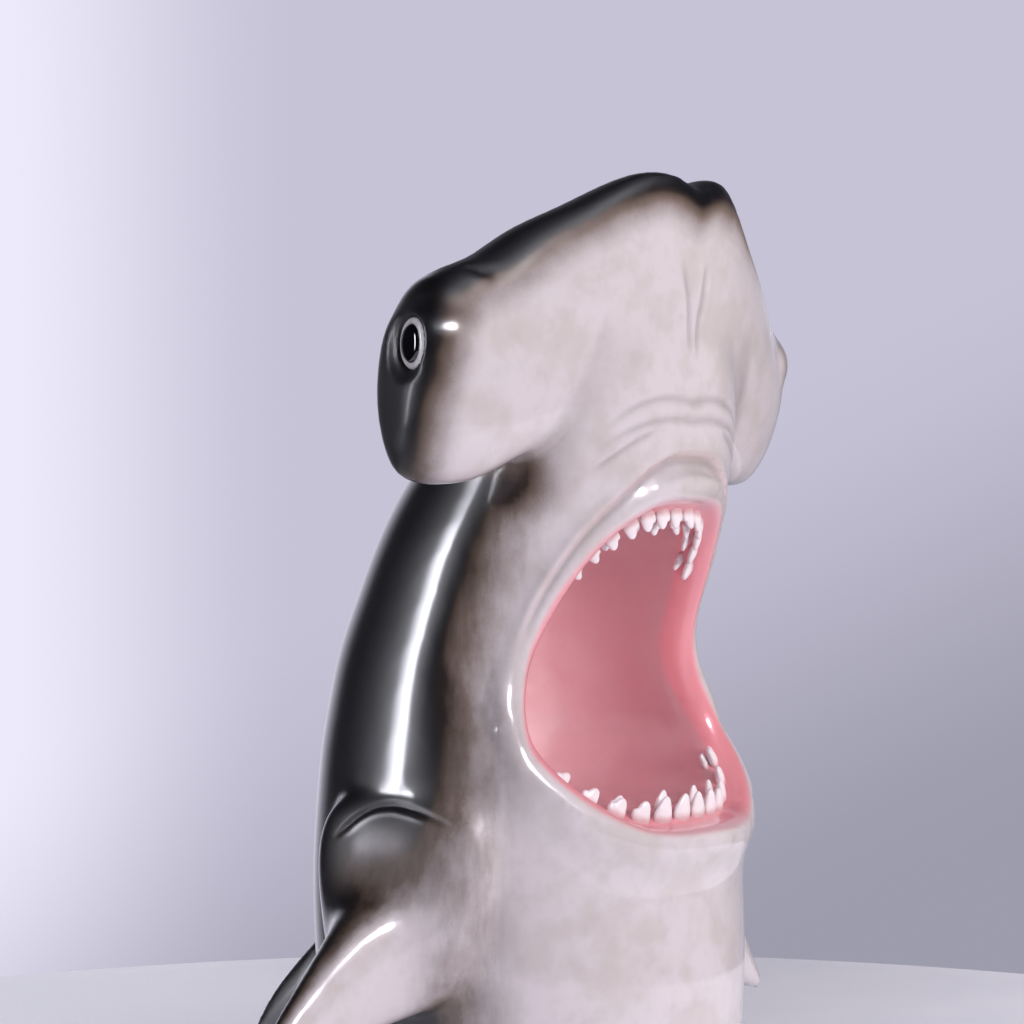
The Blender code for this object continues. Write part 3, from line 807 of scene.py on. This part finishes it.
def press_folds(mesh, lines, folds):
    """Presses the folds into the casting and returns how strongly each kind marks each point: the painted
    shade in the folds, the pink flush and the dull lacquer.
    """
    points, normals = points_of(mesh), points_of(mesh, "normal")
    moves = np.zeros(len(points))
    marks = {name: np.zeros(len(points)) for name in ("shade", "flush", "dull")}
    # Each kind of fold: its depth, its width, how far it fades at its ends, and how much painted shade lies
    # in its groove
    kinds = {
        "wrinkle": (folds.wrinkle, 0.0040, 0.22, 0.60), "face": (folds.face, 0.0042, 0.25, 0.65),
        "notch": (0.003, 0.006, 0.4, 0.0),
    }
    for kind, (depth, width, fade, painted) in kinds.items():
        for line in lines[kind]:
            gap, along, _ = near_line(points, line)
            strength = faded(along, fade)
            groove = bell(gap, 0, width) * strength
            shoulder = bell(gap, 2.2 * width, 1.4 * width) * strength
            moves += depth * (0.35 * shoulder - groove)
            # Painted shade along the groove
            raise_to(marks, "shade", painted * bell(gap, 0, 0.8 * width) * strength)
    centre = np.array([0, 0, (MOUTH_TOP + MOUTH_BOTTOM) / 2])
    for line in lines["furrow"]:
        gap, along, nearest = near_line(points, line)
        away = ((points - nearest) * (nearest - centre) * np.array([1, 0, 1])).sum(1) > 0
        signed = np.where(away, gap, -gap)
        strength = faded(along, 0.16)
        inner = smooth_step(-0.024, -0.002, signed) * (signed < 0)
        outer = (1 - smooth_step(0, 0.005, signed)) * (signed >= 0)
        brow, roll = bell(signed, 0.007, 0.005), bell(signed, -0.026, 0.009)
        moves += strength * folds.furrow * (0.25 * brow + 0.20 * roll - inner - outer)
        raise_to(marks, "flush", strength * bell(signed, 0.002, 0.0035))
        # Painted shade on the furrow's inner side
        raise_to(marks, "shade", 0.8 * strength * bell(signed, -0.004, 0.005))
    for line in lines["crease"]:
        gap, along, nearest = near_line(points, line)
        above = points[:, 2] - nearest[:, 2] > 0
        signed = np.where(above, gap, -gap)
        strength = faded(along, 0.12)
        groove = bell(gap, 0, np.where(above, 0.0036, 0.0022))
        moves += strength * folds.crease * (0.12 * bell(signed, -0.006, 0.0035) - groove)
        # Painted shade in the crease over the fin
        raise_to(marks, "shade", strength * bell(gap, 0, 0.004))
        near = gap / (np.where(above, 0.016, 0.006) + 0.034 * (1 - smooth_step(0.05, 0.30, along)))
        dull = smooth_step(0, 0.05, 1 - along) * (1 - smooth_step(0.5, 1.0, near))
        raise_to(marks, "dull", dull)
    for side in (-1, 1):
        centre, outward = eye_line(side)
        looks = np.array(outward)
        offset = points - np.array(centre)
        depth = offset @ looks
        gap = np.linalg.norm(offset - depth[:, None] * looks, axis=1)
        here = depth > -0.05
        low, high = (Vector(corner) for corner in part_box("eye_left" if side < 0 else "eye_right"))
        ring_foot = ((low + high) / 2 - centre).dot(outward) - (EYE_DOME - EYE_SOCKET_DEPTH) / 2
        flat = 0.85 * (1 - smooth_step(EYE_RADIUS + 0.001, EYE_RADIUS + 0.017, gap)) * here
        socket = (1 - smooth_step(EYE_RADIUS - 0.0012, EYE_RADIUS + 0.0010, gap)) * here
        lid = bell(gap, EYE_RADIUS + 0.0040, 0.0018) * here
        sunk = (depth - ring_foot - 0.0012) * flat + (EYE_SOCKET_DEPTH + 0.002) * socket
        points -= looks * (sunk - folds.lid * 0.35 * lid)[:, None]
    mesh.vertices.foreach_set("co", (points + normals * moves[:, None]).astype(np.float32).ravel())
    mesh.update()
    return marks


def hammer_front(points):
    """The direction in which the hammer's belly side faces, beside each point."""
    share = np.clip(points[:, 0] / HAMMER_HALF_SPAN, -1, 1)
    slope = HAMMER_SWEEP / HAMMER_HALF_SPAN * HAMMER_SWEEP_CURVE * np.abs(share) ** (HAMMER_SWEEP_CURVE - 1)
    turn = np.arctan(np.sign(share) * slope)
    return np.c_[np.sin(turn), -np.cos(turn), np.zeros(len(points))]


def inside_rim(points):
    """How far each point is inside the mouth's rim, seen from the front; negative outside."""
    rim = np.array([(p.x, p.z) for p in mouth_rim(240)])
    seen = points[:, [0, 2]]
    gap = np.full(len(points), 1.0)
    crossings = np.zeros(len(points), int)
    for a, b in zip(rim, np.roll(rim, -1, axis=0)):
        share = np.clip(((seen - a) @ (b - a)) / ((b - a) @ (b - a)), 0, 1)
        gap = np.minimum(gap, np.linalg.norm(seen - (a + share[:, None] * (b - a)), axis=1))
        spans = (a[1] > seen[:, 1]) != (b[1] > seen[:, 1])
        with np.errstate(divide="ignore", invalid="ignore"):
            meets = a[0] + (seen[:, 1] - a[1]) * (b[0] - a[0]) / (b[1] - a[1])
        crossings += spans & (seen[:, 0] < meets)
    return np.where(crossings % 2 == 1, gap, -gap)


def head_darkness(points, normals):
    """How dark the hammer is, behind, along its leading edge and round its tips, and where it is matt."""
    x = points[:, 0]
    share = np.clip(np.abs(x) / HAMMER_HALF_SPAN, 0, 1)
    facing = (normals * hammer_front(points)).sum(1) + 0.5 * np.clip(-normals[:, 2], 0, 1)
    behind = 1 - smooth_step(-0.45, 0.10, facing)
    below_edge = table_curve(HAMMER_TOP, 1)(np.clip(share, 0, 0.90)) - points[:, 2]
    below_edge -= EDGE_MIDDLE_WIDER * (1 - smooth_step(0.1, 0.4, share))
    edge = 1 - np.clip((below_edge - EDGE_BLACK) / (EDGE_PALE - EDGE_BLACK), 0, 1)
    outward = np.array(eye_line(1)[1])
    out = np.abs(x) * outward[0] + points[:, 1] * outward[1]
    tip_pale = TIP_PALE + TIP_FOOT_FURTHER * (1 - smooth_step(0.83, 0.92, points[:, 2]))
    tip = np.clip((out - tip_pale) / TIP_BAND, 0, 1)
    matt = np.maximum(smooth_step(0.1, 0.6, edge * (1 - tip)), END_MATT * smooth_step(0.242, 0.262, out))
    return 1 - (1 - behind) * (1 - edge) * (1 - tip), matt


def paint_layout(points, normals):
    """Where the airbrush went: how dark, and how pink, each point of the skin is, from 0 to 1, with the
    painted shade under the hammer and past the gum and the painted light in the throat.
    """
    x, y, z = points.T
    behind = y - TRUNK_MIDDLE(z)
    beside = np.abs(x) - TRUNK_WIDTH(z)
    lower = np.clip((behind - LOWER_PALE) / LOWER_BAND, 0, 1)
    higher = np.clip((behind - HIGHER_PALE) / HIGHER_BAND, 0, 1)
    flank = lower + (higher - lower) * smooth_step(*FLANK_CHANGE, z)
    fin = 1 - smooth_step(-0.6, 0.5, -normals[:, 1] - 0.4 * normals[:, 2])
    out_on_fin = smooth_step(0.0, 0.06, beside) * (1 - smooth_step(0.40, 0.46, z))
    trunk = flank + (fin - flank) * out_on_fin
    wing_foot = table_curve(HAMMER_FOOT, 1)(np.clip(np.abs(x) / HAMMER_HALF_SPAN, 0, 1))
    on_wing = smooth_step(-0.012, 0.020, beside) * smooth_step(-0.035, -0.010, z - wing_foot)
    on_head = np.maximum(smooth_step(0.88, 0.97, z), on_wing)
    head, matt = head_darkness(points, normals)
    dark = trunk + (head - trunk) * on_head
    # Painted shade under the hammer's trailing edge, where it meets the neck
    under_hammer_shade = np.zeros(len(points))
    for side in (-1, 1):
        offset = (points * (side, 1, 1) - np.array(HAMMER_SHADE_PLACE)) / np.array(HAMMER_SHADE_REACH)
        under_hammer_shade = np.maximum(under_hammer_shade, bell(np.linalg.norm(offset, axis=1), 0, 1))
    dark = np.maximum(dark, np.clip(1.35 * under_hammer_shade, 0, 0.94) * (1 - on_head))
    inside = inside_rim(points)
    share, square = np.clip(np.abs(x) / TRUNK_WIDTH(z), 0, 0.999), TRUNK_SQUARENESS(z)
    trunk_back = TRUNK_MIDDLE(z) + TRUNK_BACK(z) * (1 - share**2) ** 0.5
    pink = smooth_step(-0.013, 0.006, inside) * (y < np.minimum(CAVITY_BACK + 0.012, trunk_back - 0.008))
    behind_lip = y - (TRUNK_MIDDLE(z) - TRUNK_FRONT(z) * (1 - share**square) ** (1 / square))
    return {
        "dark": dark * (1 - pink), "matt": matt * on_head, "pink": pink,
        "edge": bell(inside, 0.001, 0.009) * pink,
        # hollow marks the walls past the gum, which take painted shade; depth runs back towards the throat,
        # which takes painted light
        "hollow": smooth_step(0.026, 0.040, behind_lip) * pink,
        "depth": smooth_step(-0.04, 0.12, y) * pink,
    }


def store(mesh, values):
    for name, value in values.items():
        mesh.attributes.new(name, "FLOAT", "POINT").data.foreach_set("value", value.astype(np.float32))


# Each kind of node in use: its type, its settings, the inputs that its values go to, and its output
NODES = {
    "mark": ("Attribute", {}, (), "Fac"),
    "place": ("TexCoord", {}, (), "Object"),
    "look": ("TexCoord", {}, (), "Generated"),
    "camera ray": ("LightPath", {}, (), "Is Camera Ray"),
    "glossy ray": ("LightPath", {}, (), "Is Glossy Ray"),
    "height": ("SeparateXYZ", {}, (0,), "Z"),
    "noise": ("TexNoise", {}, ("Vector", "Scale", "Detail", "Roughness"), "Fac"),
    "mix": ("Mix", {"data_type": "RGBA"}, (0, 6, 7), 2),
    "ease": ("MapRange", {"interpolation_type": "SMOOTHSTEP"}, (0, 1, 2, 3, 4), 0),
    "times": ("Math", {"operation": "MULTIPLY"}, (0, 1), 0),
    "plus": ("Math", {"operation": "ADD"}, (0, 1), 0),
    "minus": ("Math", {"operation": "SUBTRACT"}, (0, 1), 0),
    "times plus": ("Math", {"operation": "MULTIPLY_ADD"}, (0, 1, 2), 0),
    "stretch": ("VectorMath", {"operation": "MULTIPLY"}, (0, 1), 0),
    "unit": ("VectorMath", {"operation": "NORMALIZE"}, (0,), 0),
    "dot": ("VectorMath", {"operation": "DOT_PRODUCT"}, (0, 1), "Value"),
    "bump": ("Bump", {}, ("Height", "Distance", "Strength"), "Normal"),
    "background": ("Background", {}, (0, 1), 0),
    "both shaders": ("AddShader", {}, (0, 1), 0),
    "mix shaders": ("MixShader", {}, (0, 1, 2), 0),
}


def fill_in(tree, node, values):
    """Sets each input of a node to its value, or links it where the value is another node's output."""
    for name, value in values.items():
        if isinstance(value, bpy.types.NodeSocket):
            tree.links.new(value, node.inputs[name])
        else:
            node.inputs[name].default_value = value


def add_node(tree, kind, *values, **settings):
    """The output of a new node that has these values and settings."""
    type_name, own_settings, inputs, output = NODES[kind]
    node = tree.nodes.new("ShaderNode" + type_name)
    for name, value in {**own_settings, **settings}.items():
        setattr(node, name, value)
    fill_in(tree, node, dict(zip(inputs, values)))
    return node.outputs[output]


def new_material(name):
    """A material, its shader, how nodes are added to it, and the object's own coordinates."""
    made = bpy.data.materials.new(name)
    made.use_nodes = True
    tree = made.node_tree
    add = partial(add_node, tree)
    return made, partial(fill_in, tree, tree.nodes["Principled BSDF"]), add, add("place")


def per_metre(size_mm):
    """Scale of a noise whose clouds are about this size."""
    return 1 / (size_mm * MM)


def skin_finish(paint):
    """Airbrushed enamel on glass-fibre under clear lacquer: soft sprayed clouds with a wet, sharp gloss on
    top, which is rubbed to a soft sheen on the head's black."""
    made, give, add, place = new_material("airbrushed enamel under lacquer")
    tree = made.node_tree
    names = ("dark", "matt", "pink", "edge", "hollow", "depth", "shade", "flush")
    dark, matt, pink, edge, hollow, depth, shade, flush = (add("mark", attribute_name=name) for name in names)
    clouds = add("noise", place, per_metre(55), 3, NOISE_ROUGHNESS)
    blotches = add("noise", place, per_metre(17), 4, NOISE_ROUGHNESS)
    spray = add("noise", place, per_metre(2.2), 2, NOISE_ROUGHNESS)
    # The sprayed edge wanders in clouds and hanging streaks, and ends in fine overspray grain
    streaks = add("noise", add("stretch", place, (1, 1, 0.25)), per_metre(13), 3, NOISE_ROUGHNESS)
    height = add("height", place)
    drift = add("times plus", add("minus", clouds, 0.5), 0.50, 0.0)
    streaked = add("times", add("minus", streaks, 0.5), add("ease", height, 0.70, 0.82, 0.42, 0.05))
    drift = add("plus", streaked, drift)
    drift = add("times plus", add("minus", spray, 0.5), 0.10, drift)
    bell = add("times", add("times", dark, add("minus", 1.0, dark)), 4.0)
    sprayed = add("times plus", drift, bell, dark, use_clamp=True)
    belly = add("mix", add("ease", clouds, 0.42, 0.66), paint.belly, paint.belly_warm)
    belly = add("mix", add("ease", blotches, 0.45, 0.8, 0.0, 0.14), belly, paint.flank)
    coat = tree.nodes.new("ShaderNodeValToRGB")
    stops = [
        (0.30, linear("b9b0b2")), (0.55, paint.flank), (0.72, linear("74665f")), (0.86, paint.brown),
        (0.94, linear("2c2320")), (1.0, paint.back),
    ]
    for _ in stops[2:]:
        coat.color_ramp.elements.new(0.5)
    for element, (position, rgba) in zip(coat.color_ramp.elements, stops):
        element.position = position
        element.color = rgba
    tree.links.new(sprayed, coat.inputs["Fac"])
    covered = add("mix", add("ease", sprayed, 0.03, 0.42), belly, coat.outputs["Color"])
    # The painted shade in the folds, and the flush beside the lip furrow, show on bare paint only
    bare = add("minus", 1.0, sprayed)
    for line, strength, tint in ((shade, 0.60, paint.line), (flush, 0.35, paint.flush)):
        covered = add("mix", add("times", add("times", line, bare), strength), covered, tint)
    # Painted light and shade in the mouth: greyer walls past the gum, paler towards the throat where the
    # light falls in
    flesh = add("mix", depth, paint.mouth, paint.throat)
    flesh = add("mix", hollow, paint.gum, flesh)
    flesh = add("mix", add("times", add("ease", clouds, 0.40, 0.70), 0.20), flesh, paint.lip)
    flesh = add("mix", add("times", edge, 0.75), flesh, paint.lip)
    satin = add("times", sprayed, add("ease", height, 0.74, 0.86, 0.05, 0.12))
    give({
        "Base Color": add("mix", add("ease", pink, 0.05, 0.95), covered, flesh),
        "Roughness": add("ease", matt, 0.0, 1.0, 0.38, 0.52),
        "IOR": 1.5,
        "Coat Weight": add("ease", matt, 0.0, 1.0, 1.0, 0.10),
        "Coat Roughness": add("plus", satin, 0.06),
        "Coat IOR": 1.5,
        "Normal": add("bump", add("noise", place, per_metre(9), 2, NOISE_ROUGHNESS), 0.4 * MM, 0.10),
        "Coat Normal": add("bump", add("noise", place, per_metre(24), 1, NOISE_ROUGHNESS), 0.5 * MM, 0.10),
    })
    return made


def tooth_finish(parts):
    """Cast resin teeth in off-white enamel: satin, with painted shade, pinkish grey, where each one leaves
    the gum.
    """
    made, give, add, place = new_material("cast resin, off-white enamel")
    clouds = add("minus", add("noise", place, per_metre(6), 3, NOISE_ROUGHNESS), 0.5)
    # Painted shade at each tooth's foot, broken up by clouds
    root_shade_and_clouds = add("times plus", clouds, 0.5, add("mark", attribute_name="root"), use_clamp=True)
    give({
        "Base Color": add("mix", root_shade_and_clouds, parts.tooth, parts.tooth_root),
        "Roughness": 0.32,
        "Coat Weight": 0.4,
        "Coat Roughness": 0.12,
        "Normal": add("bump", add("noise", place, per_metre(3), 3, NOISE_ROUGHNESS), 0.5 * MM, 0.15),
    })
    return made


def pupil_finish(parts):
    """Black gloss enamel polished like glass, so that it holds one sharp glint."""
    made, give, add, place = new_material("black gloss enamel")
    uneven = add("noise", place, per_metre(8), 3, NOISE_ROUGHNESS)
    give({
        "Base Color": add("mix", uneven, parts.pupil, linear("0d0c12")),
        "Roughness": 0.05,
        "Coat Weight": 1.0,
        "Coat Roughness": 0.02,
    })
    return made


def ring_finish(parts):
    """White gloss enamel, brushed on by hand: slightly uneven, greyer in random patches."""
    made, give, add, place = new_material("white gloss enamel")
    uneven = add("ease", add("noise", place, per_metre(5), 3, NOISE_ROUGHNESS), 0.35, 0.75)
    give({
        "Base Color": add("mix", uneven, parts.ring, linear("dcd6da")),
        "Roughness": 0.16,
        "Coat Weight": 0.8,
        "Coat Roughness": 0.04,
        "Normal": add("bump", add("noise", place, per_metre(2.5), 3, NOISE_ROUGHNESS), 0.3 * MM, 0.12),
    })
    return made


def floor_finish(stage):
    """Matt painted studio floor, even and pale, that glows with painted light, a little brighter towards the
    bright side of the wall.
    """
    made, give, add, place = new_material("matt studio floor")
    tone = add("mix", add("noise", place, per_metre(400), 3, NOISE_ROUGHNESS), stage.floor, linear("dcdbe8"))
    # Painted light: the floor glows, more towards the wall's bright side
    painted_floor_light = add("ease", add("dot", place, along_view()[0]), -1.0, 0.3, 0.42, 0.08)
    give({"Base Color": tone, "Emission Color": tone, "Emission Strength": painted_floor_light, "Roughness": 0.9})
    return made


def rim_place(rim, along):
    """Point, inward direction and running direction at a distance along the rim, in shares of its length."""
    at = along * len(rim)
    i, part = int(at // 1) % len(rim), at % 1
    point = rim[i].lerp(rim[(i + 1) % len(rim)], part)
    towards = inward(rim, i).lerp(inward(rim, (i + 1) % len(rim)), part).normalized()
    running = (rim[(i + 1) % len(rim)] - rim[i]).normalized()
    return point, towards, running


def rim_length(rim):
    return sum((rim[i] - rim[i - 1]).length for i in range(len(rim)))


def lobe_mesh(rows):
    rings = []
    for height, offset, wide, thick in rows:
        ring = []
        for t in turns(20):
            across, through = (offset + wide * cos(t)) * TOOTH_WIDTH, thick * sin(t) * TOOTH_THICKNESS
            ring.append(Vector((across, through, height * TOOTH_HEIGHT)))
        rings.append(ring)
    return loft(rings)


def tooth_form(lobes):
    """A tooth that stands up along Z with its cusp towards +X, its lobes melted together and rounded."""
    return with_modifiers(
        joined([lobe_mesh(rows) for rows in lobes]),
        ("REMESH", {"mode": "VOXEL", "voxel_size": TOOTH_STEP}),
        ("SMOOTH", {"factor": 0.5, "iterations": 4}),
    )


def placed_tooth(form_mesh, seat, up, cusp_side, size):
    """A copy of a tooth on its seat; its root attribute, painted shade at the tooth's foot, is 1 at the gum
    and fades out up the tooth.
    """
    across = (cusp_side - up * cusp_side.dot(up)).normalized()
    through = up.cross(across)
    mesh = form_mesh.copy()
    height = points_of(mesh)[:, 2] / TOOTH_HEIGHT
    store(mesh, {"root": 1 - smooth_step(-0.05, 0.32, height)})
    turn = Matrix((across, through, up)).transposed().to_4x4()
    mesh.transform(Matrix.Translation(seat) @ turn @ Matrix.Scale(size, 4))
    return mesh


def turned_mesh(profile, matrix, steps):
    """A closed round piece from a profile of radius and height, turned about the matrix's own Z."""
    form = bmesh.new()
    verts = [form.verts.new((radius, 0, height)) for radius, height in profile]
    edges = [form.edges.new(pair) for pair in zip(verts, verts[1:])]
    bmesh.ops.spin(
        form, geom=verts + edges, cent=(0, 0, 0), axis=(0, 0, 1), angle=2 * pi, steps=steps, use_merge=True
    )
    bmesh.ops.remove_doubles(form, verts=form.verts, dist=1e-6)
    bmesh.ops.recalc_face_normals(form, faces=form.faces)
    for face in form.faces:
        middle = face.calc_center_median()
        face.material_index = int((middle.x**2 + middle.y**2) ** 0.5 > PUPIL_SHARE * EYE_RADIUS)
    bmesh.ops.transform(form, matrix=matrix, verts=form.verts)
    return mesh_of(form, "turned")


def lamp(spec, power):
    """A soft lamp for the paint's colour only; what the gloss shows of the lamps is in the studio's world."""
    light = bpy.data.lights.new(spec.name, "AREA")
    light.shape = "SQUARE"
    light.size = spec.size
    light.energy = power
    light.color = linear(spec.tint)[:3]
    obj = add_object(f"{spec.name} lamp", light)
    obj.location = spec.place
    obj.rotation_euler = (Vector(spec.target) - Vector(spec.place)).to_track_quat("-Z", "Y").to_euler()
    obj.visible_glossy = False


def along_view():
    """The camera's right-hand direction and the direction from the figure towards the camera."""
    right = Vector((cos(CAMERA_AZIMUTH), sin(CAMERA_AZIMUTH), 0))
    towards = Vector((sin(CAMERA_AZIMUTH), -cos(CAMERA_AZIMUTH), 0))
    return right, towards


def studio_world(stage):
    """The pale wall that the camera sees, and what the gloss sees: that wall behind the figure, a dim room
    in front of it, a tall strip lamp behind on the left and a round lamp high in front."""
    world = bpy.data.worlds.new("studio")
    bpy.context.scene.world = world
    world.use_nodes = True
    tree = world.node_tree
    add = partial(add_node, tree)
    right, towards = along_view()
    look = add("look")
    up = add("height", look)
    aside = add("dot", look, right)
    low_right = add("times plus", aside, 0.5, add("times", up, -1.0))
    # Painted light on the wall the camera sees: bright on the left, shaded low on the right
    wall = add("mix", add("ease", aside, -0.185, -0.07), stage.wall_left, stage.wall)
    wall = add("mix", add("ease", low_right, 0.0, 0.20), wall, stage.wall_shaded_low)
    room = add("mix", add("ease", add("dot", look, -towards), 0.72, 0.99), stage.room, wall)
    # The strip has one soft side, towards the back, and one crisp side
    level = add("unit", add("stretch", look, (1, 1, 0)))
    beside = add("dot", level, Vector((-STRIP_WAY.y, STRIP_WAY.x, 0)))
    band = add("times", add("ease", beside, -0.19, 0.01), add("ease", beside, 0.04, 0.09, 1.0, 0.0))
    band = add("times", band, add("ease", add("dot", level, STRIP_WAY), 0.0, 0.2))
    band = add("times", band, add("ease", up, -0.30, 0.0))
    band = add("times", band, add("ease", up, 0.28, 0.48, 1.0, 0.0))
    spot = add("dot", look, SPOT_WAY)
    disc = add("ease", spot, cos(radians(12)), cos(radians(7)))
    halo = add("ease", spot, cos(radians(24)), cos(radians(8)), 0.0, 0.02)
    lamps = add("times plus", add("plus", disc, halo), stage.spot, add("times", band, stage.strip))
    reflected = add("both shaders", add("background", room, 1.0), add("background", linear("f4f4ff"), lamps))
    light = add("background", linear("f1f0f8"), stage.fill)
    unseen = add("mix shaders", add("glossy ray"), light, reflected)
    every = add("mix shaders", add("camera ray"), unseen, add("background", wall, 1.0))
    tree.links.new(every, tree.nodes["World Output"].inputs["Surface"])


class SHARK_OT_casting(bpy.types.Operator):
    """Fuse the casting again at a fine step, press in its folds and lay out its paint"""

    bl_idname = "shark.casting"
    bl_label = "Casting"

    def execute(self, context):
        mesh = casting_mesh()
        melt_chin(mesh)
        lines = fold_lines(surface_of(mesh))
        every = [line for kind in lines.values() for line in kind]
        eyes = [np.array([eye_line(side)[0]]) for side in (-1, 1)]

        def wanted(middles):
            close = inside_rim(middles)
            take = (np.abs(close) < FINE_RADIUS) & (middles[:, 1] < 0.02)
            for line in every:
                take |= near_line(middles, line)[0] < FINE_RADIUS * 0.6
            for eye in eyes:
                take |= np.linalg.norm(middles - eye, axis=1) < EYE_RADIUS * 1.7
            return take

        refine(mesh, wanted, 1)
        points, normals = points_of(mesh), points_of(mesh, "normal")
        paint = paint_layout(points, normals)
        marks = press_folds(mesh, lines, context.scene.shark_folds)
        marks["flush"] *= 1 - paint["pink"]
        paint["matt"] = np.maximum(paint["matt"], marks.pop("dull"))
        store(mesh, {**paint, **marks})
        mesh.shade_smooth()
        casting = add_object("shark_casting", mesh, skin_finish(context.scene.shark_paint))
        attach(casting, "root")
        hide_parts("body")
        return {"FINISHED"}


class SHARK_OT_teeth(bpy.types.Operator):
    """Set the rows of teeth on the gum"""

    bl_idname = "shark.teeth"
    bl_label = "Teeth"

    def execute(self, context):
        casting = bpy.data.objects["shark_casting"]
        skin = surface_of(casting.data)
        rim = mouth_rim(240)
        whole = rim_length(rim)
        finish = tooth_finish(context.scene.shark_parts)
        cusped, pointed = tooth_form([MAIN_LOBE, LOW_LOBE]), tooth_form([POINTED_LOBE])
        for row in TOOTH_ROWS:
            for i in range(row.count):
                offset = (2 * i / (row.count - 1) - 1) * row.reach
                point, towards, running = rim_place(rim, (row.middle + offset / whole) % 1)
                origin = point + towards * TOOTH_SEAT_REACH + Vector((0, row.depth, 0))
                seat = skin.ray_cast(origin, -towards)[0]
                lean = radians(row.lean)
                up = (towards * cos(lean) + Vector((0, -1, 0)) * sin(lean)).normalized()
                cusp_side = running * row.cusp * (1 if offset > 0 else -1)
                from_middle = abs(i - (row.count - 1) / 2)
                form_mesh = pointed if from_middle < row.pointed / 2 else cusped
                shorter = 1 - LEFT_TEETH_SHORTER * (offset / row.reach) ** 2 * (seat.x < 0)
                mesh = placed_tooth(form_mesh, seat, up, cusp_side, row.size * shorter)
                mesh.shade_smooth()
                name = f"{row.name}_{i + 1:02d}"
                tooth = add_object(f"enamel_{name}", mesh, finish)
                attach(tooth, "root")
                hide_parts(name)
        return {"FINISHED"}


class SHARK_OT_eyes(bpy.types.Operator):
    """Turn the two domed eyes with their white rings"""

    bl_idname = "shark.eyes"
    bl_label = "Eyes"

    def execute(self, context):
        parts = context.scene.shark_parts
        finishes = pupil_finish(parts), ring_finish(parts)
        front = [(share * EYE_RADIUS, height * EYE_DOME) for share, height in EYE_PROFILE]
        profile = front + [(EYE_RADIUS, -EYE_SOCKET_DEPTH), (0, -EYE_SOCKET_DEPTH)]
        for name, side in (("eye_left", -1), ("eye_right", 1)):
            outward = eye_line(side)[1]
            low, high = (Vector(corner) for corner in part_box(name))
            back_plane = (low + high) / 2 - outward * ((EYE_DOME - EYE_SOCKET_DEPTH) / 2)
            turn = outward.to_track_quat("Z", "Y").to_matrix().to_4x4()
            mesh = turned_mesh(profile, Matrix.Translation(back_plane) @ turn, EYE_STEPS)
            mesh.shade_smooth()
            eye = add_object(f"gloss_{name}", mesh, *finishes)
            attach(eye, "root")
            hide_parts(name)
        return {"FINISHED"}


class SHARK_OT_stage(bpy.types.Operator):
    """Set up the floor, the pale wall, the lamps and the camera"""

    bl_idname = "shark.stage"
    bl_label = "Studio"

    def execute(self, context):
        scene, stage = context.scene, context.scene.shark_stage
        form = bmesh.new()
        bmesh.ops.create_circle(form, cap_ends=True, radius=FLOOR_RADIUS, segments=FLOOR_SIDES)
        floor = add_object("floor", mesh_of(form, "floor"), floor_finish(stage))
        studio_world(stage)
        for spec in LAMPS:
            lamp(spec, getattr(stage, spec.name))
        right, towards = along_view()
        camera = bpy.data.cameras.new("camera")
        camera.lens = CAMERA_LENS
        viewer = add_object("camera", camera)
        viewer.location = towards * CAMERA_DISTANCE - right * CAMERA_ASIDE + Vector((0, 0, CAMERA_HEIGHT))
        viewer.rotation_euler = (pi / 2 - CAMERA_DOWN, 0, CAMERA_AZIMUTH)
        scene.camera = viewer
        scene.view_settings.view_transform = "Standard"
        return {"FINISHED"}


class SHARK_PT_panel(bpy.types.Panel):
    """Sizes, colours and steps of the shark figure"""

    bl_label = "Shark figure"
    bl_idname = "SHARK_PT_panel"
    bl_space_type = "VIEW_3D"
    bl_region_type = "UI"
    bl_category = "Shark"

    def draw(self, context):
        for name in GROUPS:
            box = self.layout.box()
            group = getattr(context.scene, name)
            for key in group.__annotations__:
                box.prop(group, key)
        for operator in OPERATORS:
            self.layout.operator(operator.bl_idname)


GROUPS = {
    "shark_folds": SharkFolds,
    "shark_paint": SharkPaint,
    "shark_parts": SharkParts,
    "shark_stage": SharkStage,
}
OPERATORS = (SHARK_OT_casting, SHARK_OT_teeth, SHARK_OT_eyes, SHARK_OT_stage)
CLASSES = (*GROUPS.values(), *OPERATORS, SHARK_PT_panel)


def register():
    for cls in CLASSES:
        bpy.utils.register_class(cls)
    for name, group in GROUPS.items():
        setattr(bpy.types.Scene, name, PointerProperty(type=group))


def unregister():
    for name in GROUPS:
        delattr(bpy.types.Scene, name)
    for cls in reversed(CLASSES):
        bpy.utils.unregister_class(cls)


def main():
    register()
    bpy.ops.shark.casting()
    bpy.ops.shark.teeth()
    bpy.ops.shark.eyes()
    bpy.ops.shark.stage()


if __name__ == "__main__":
    main()
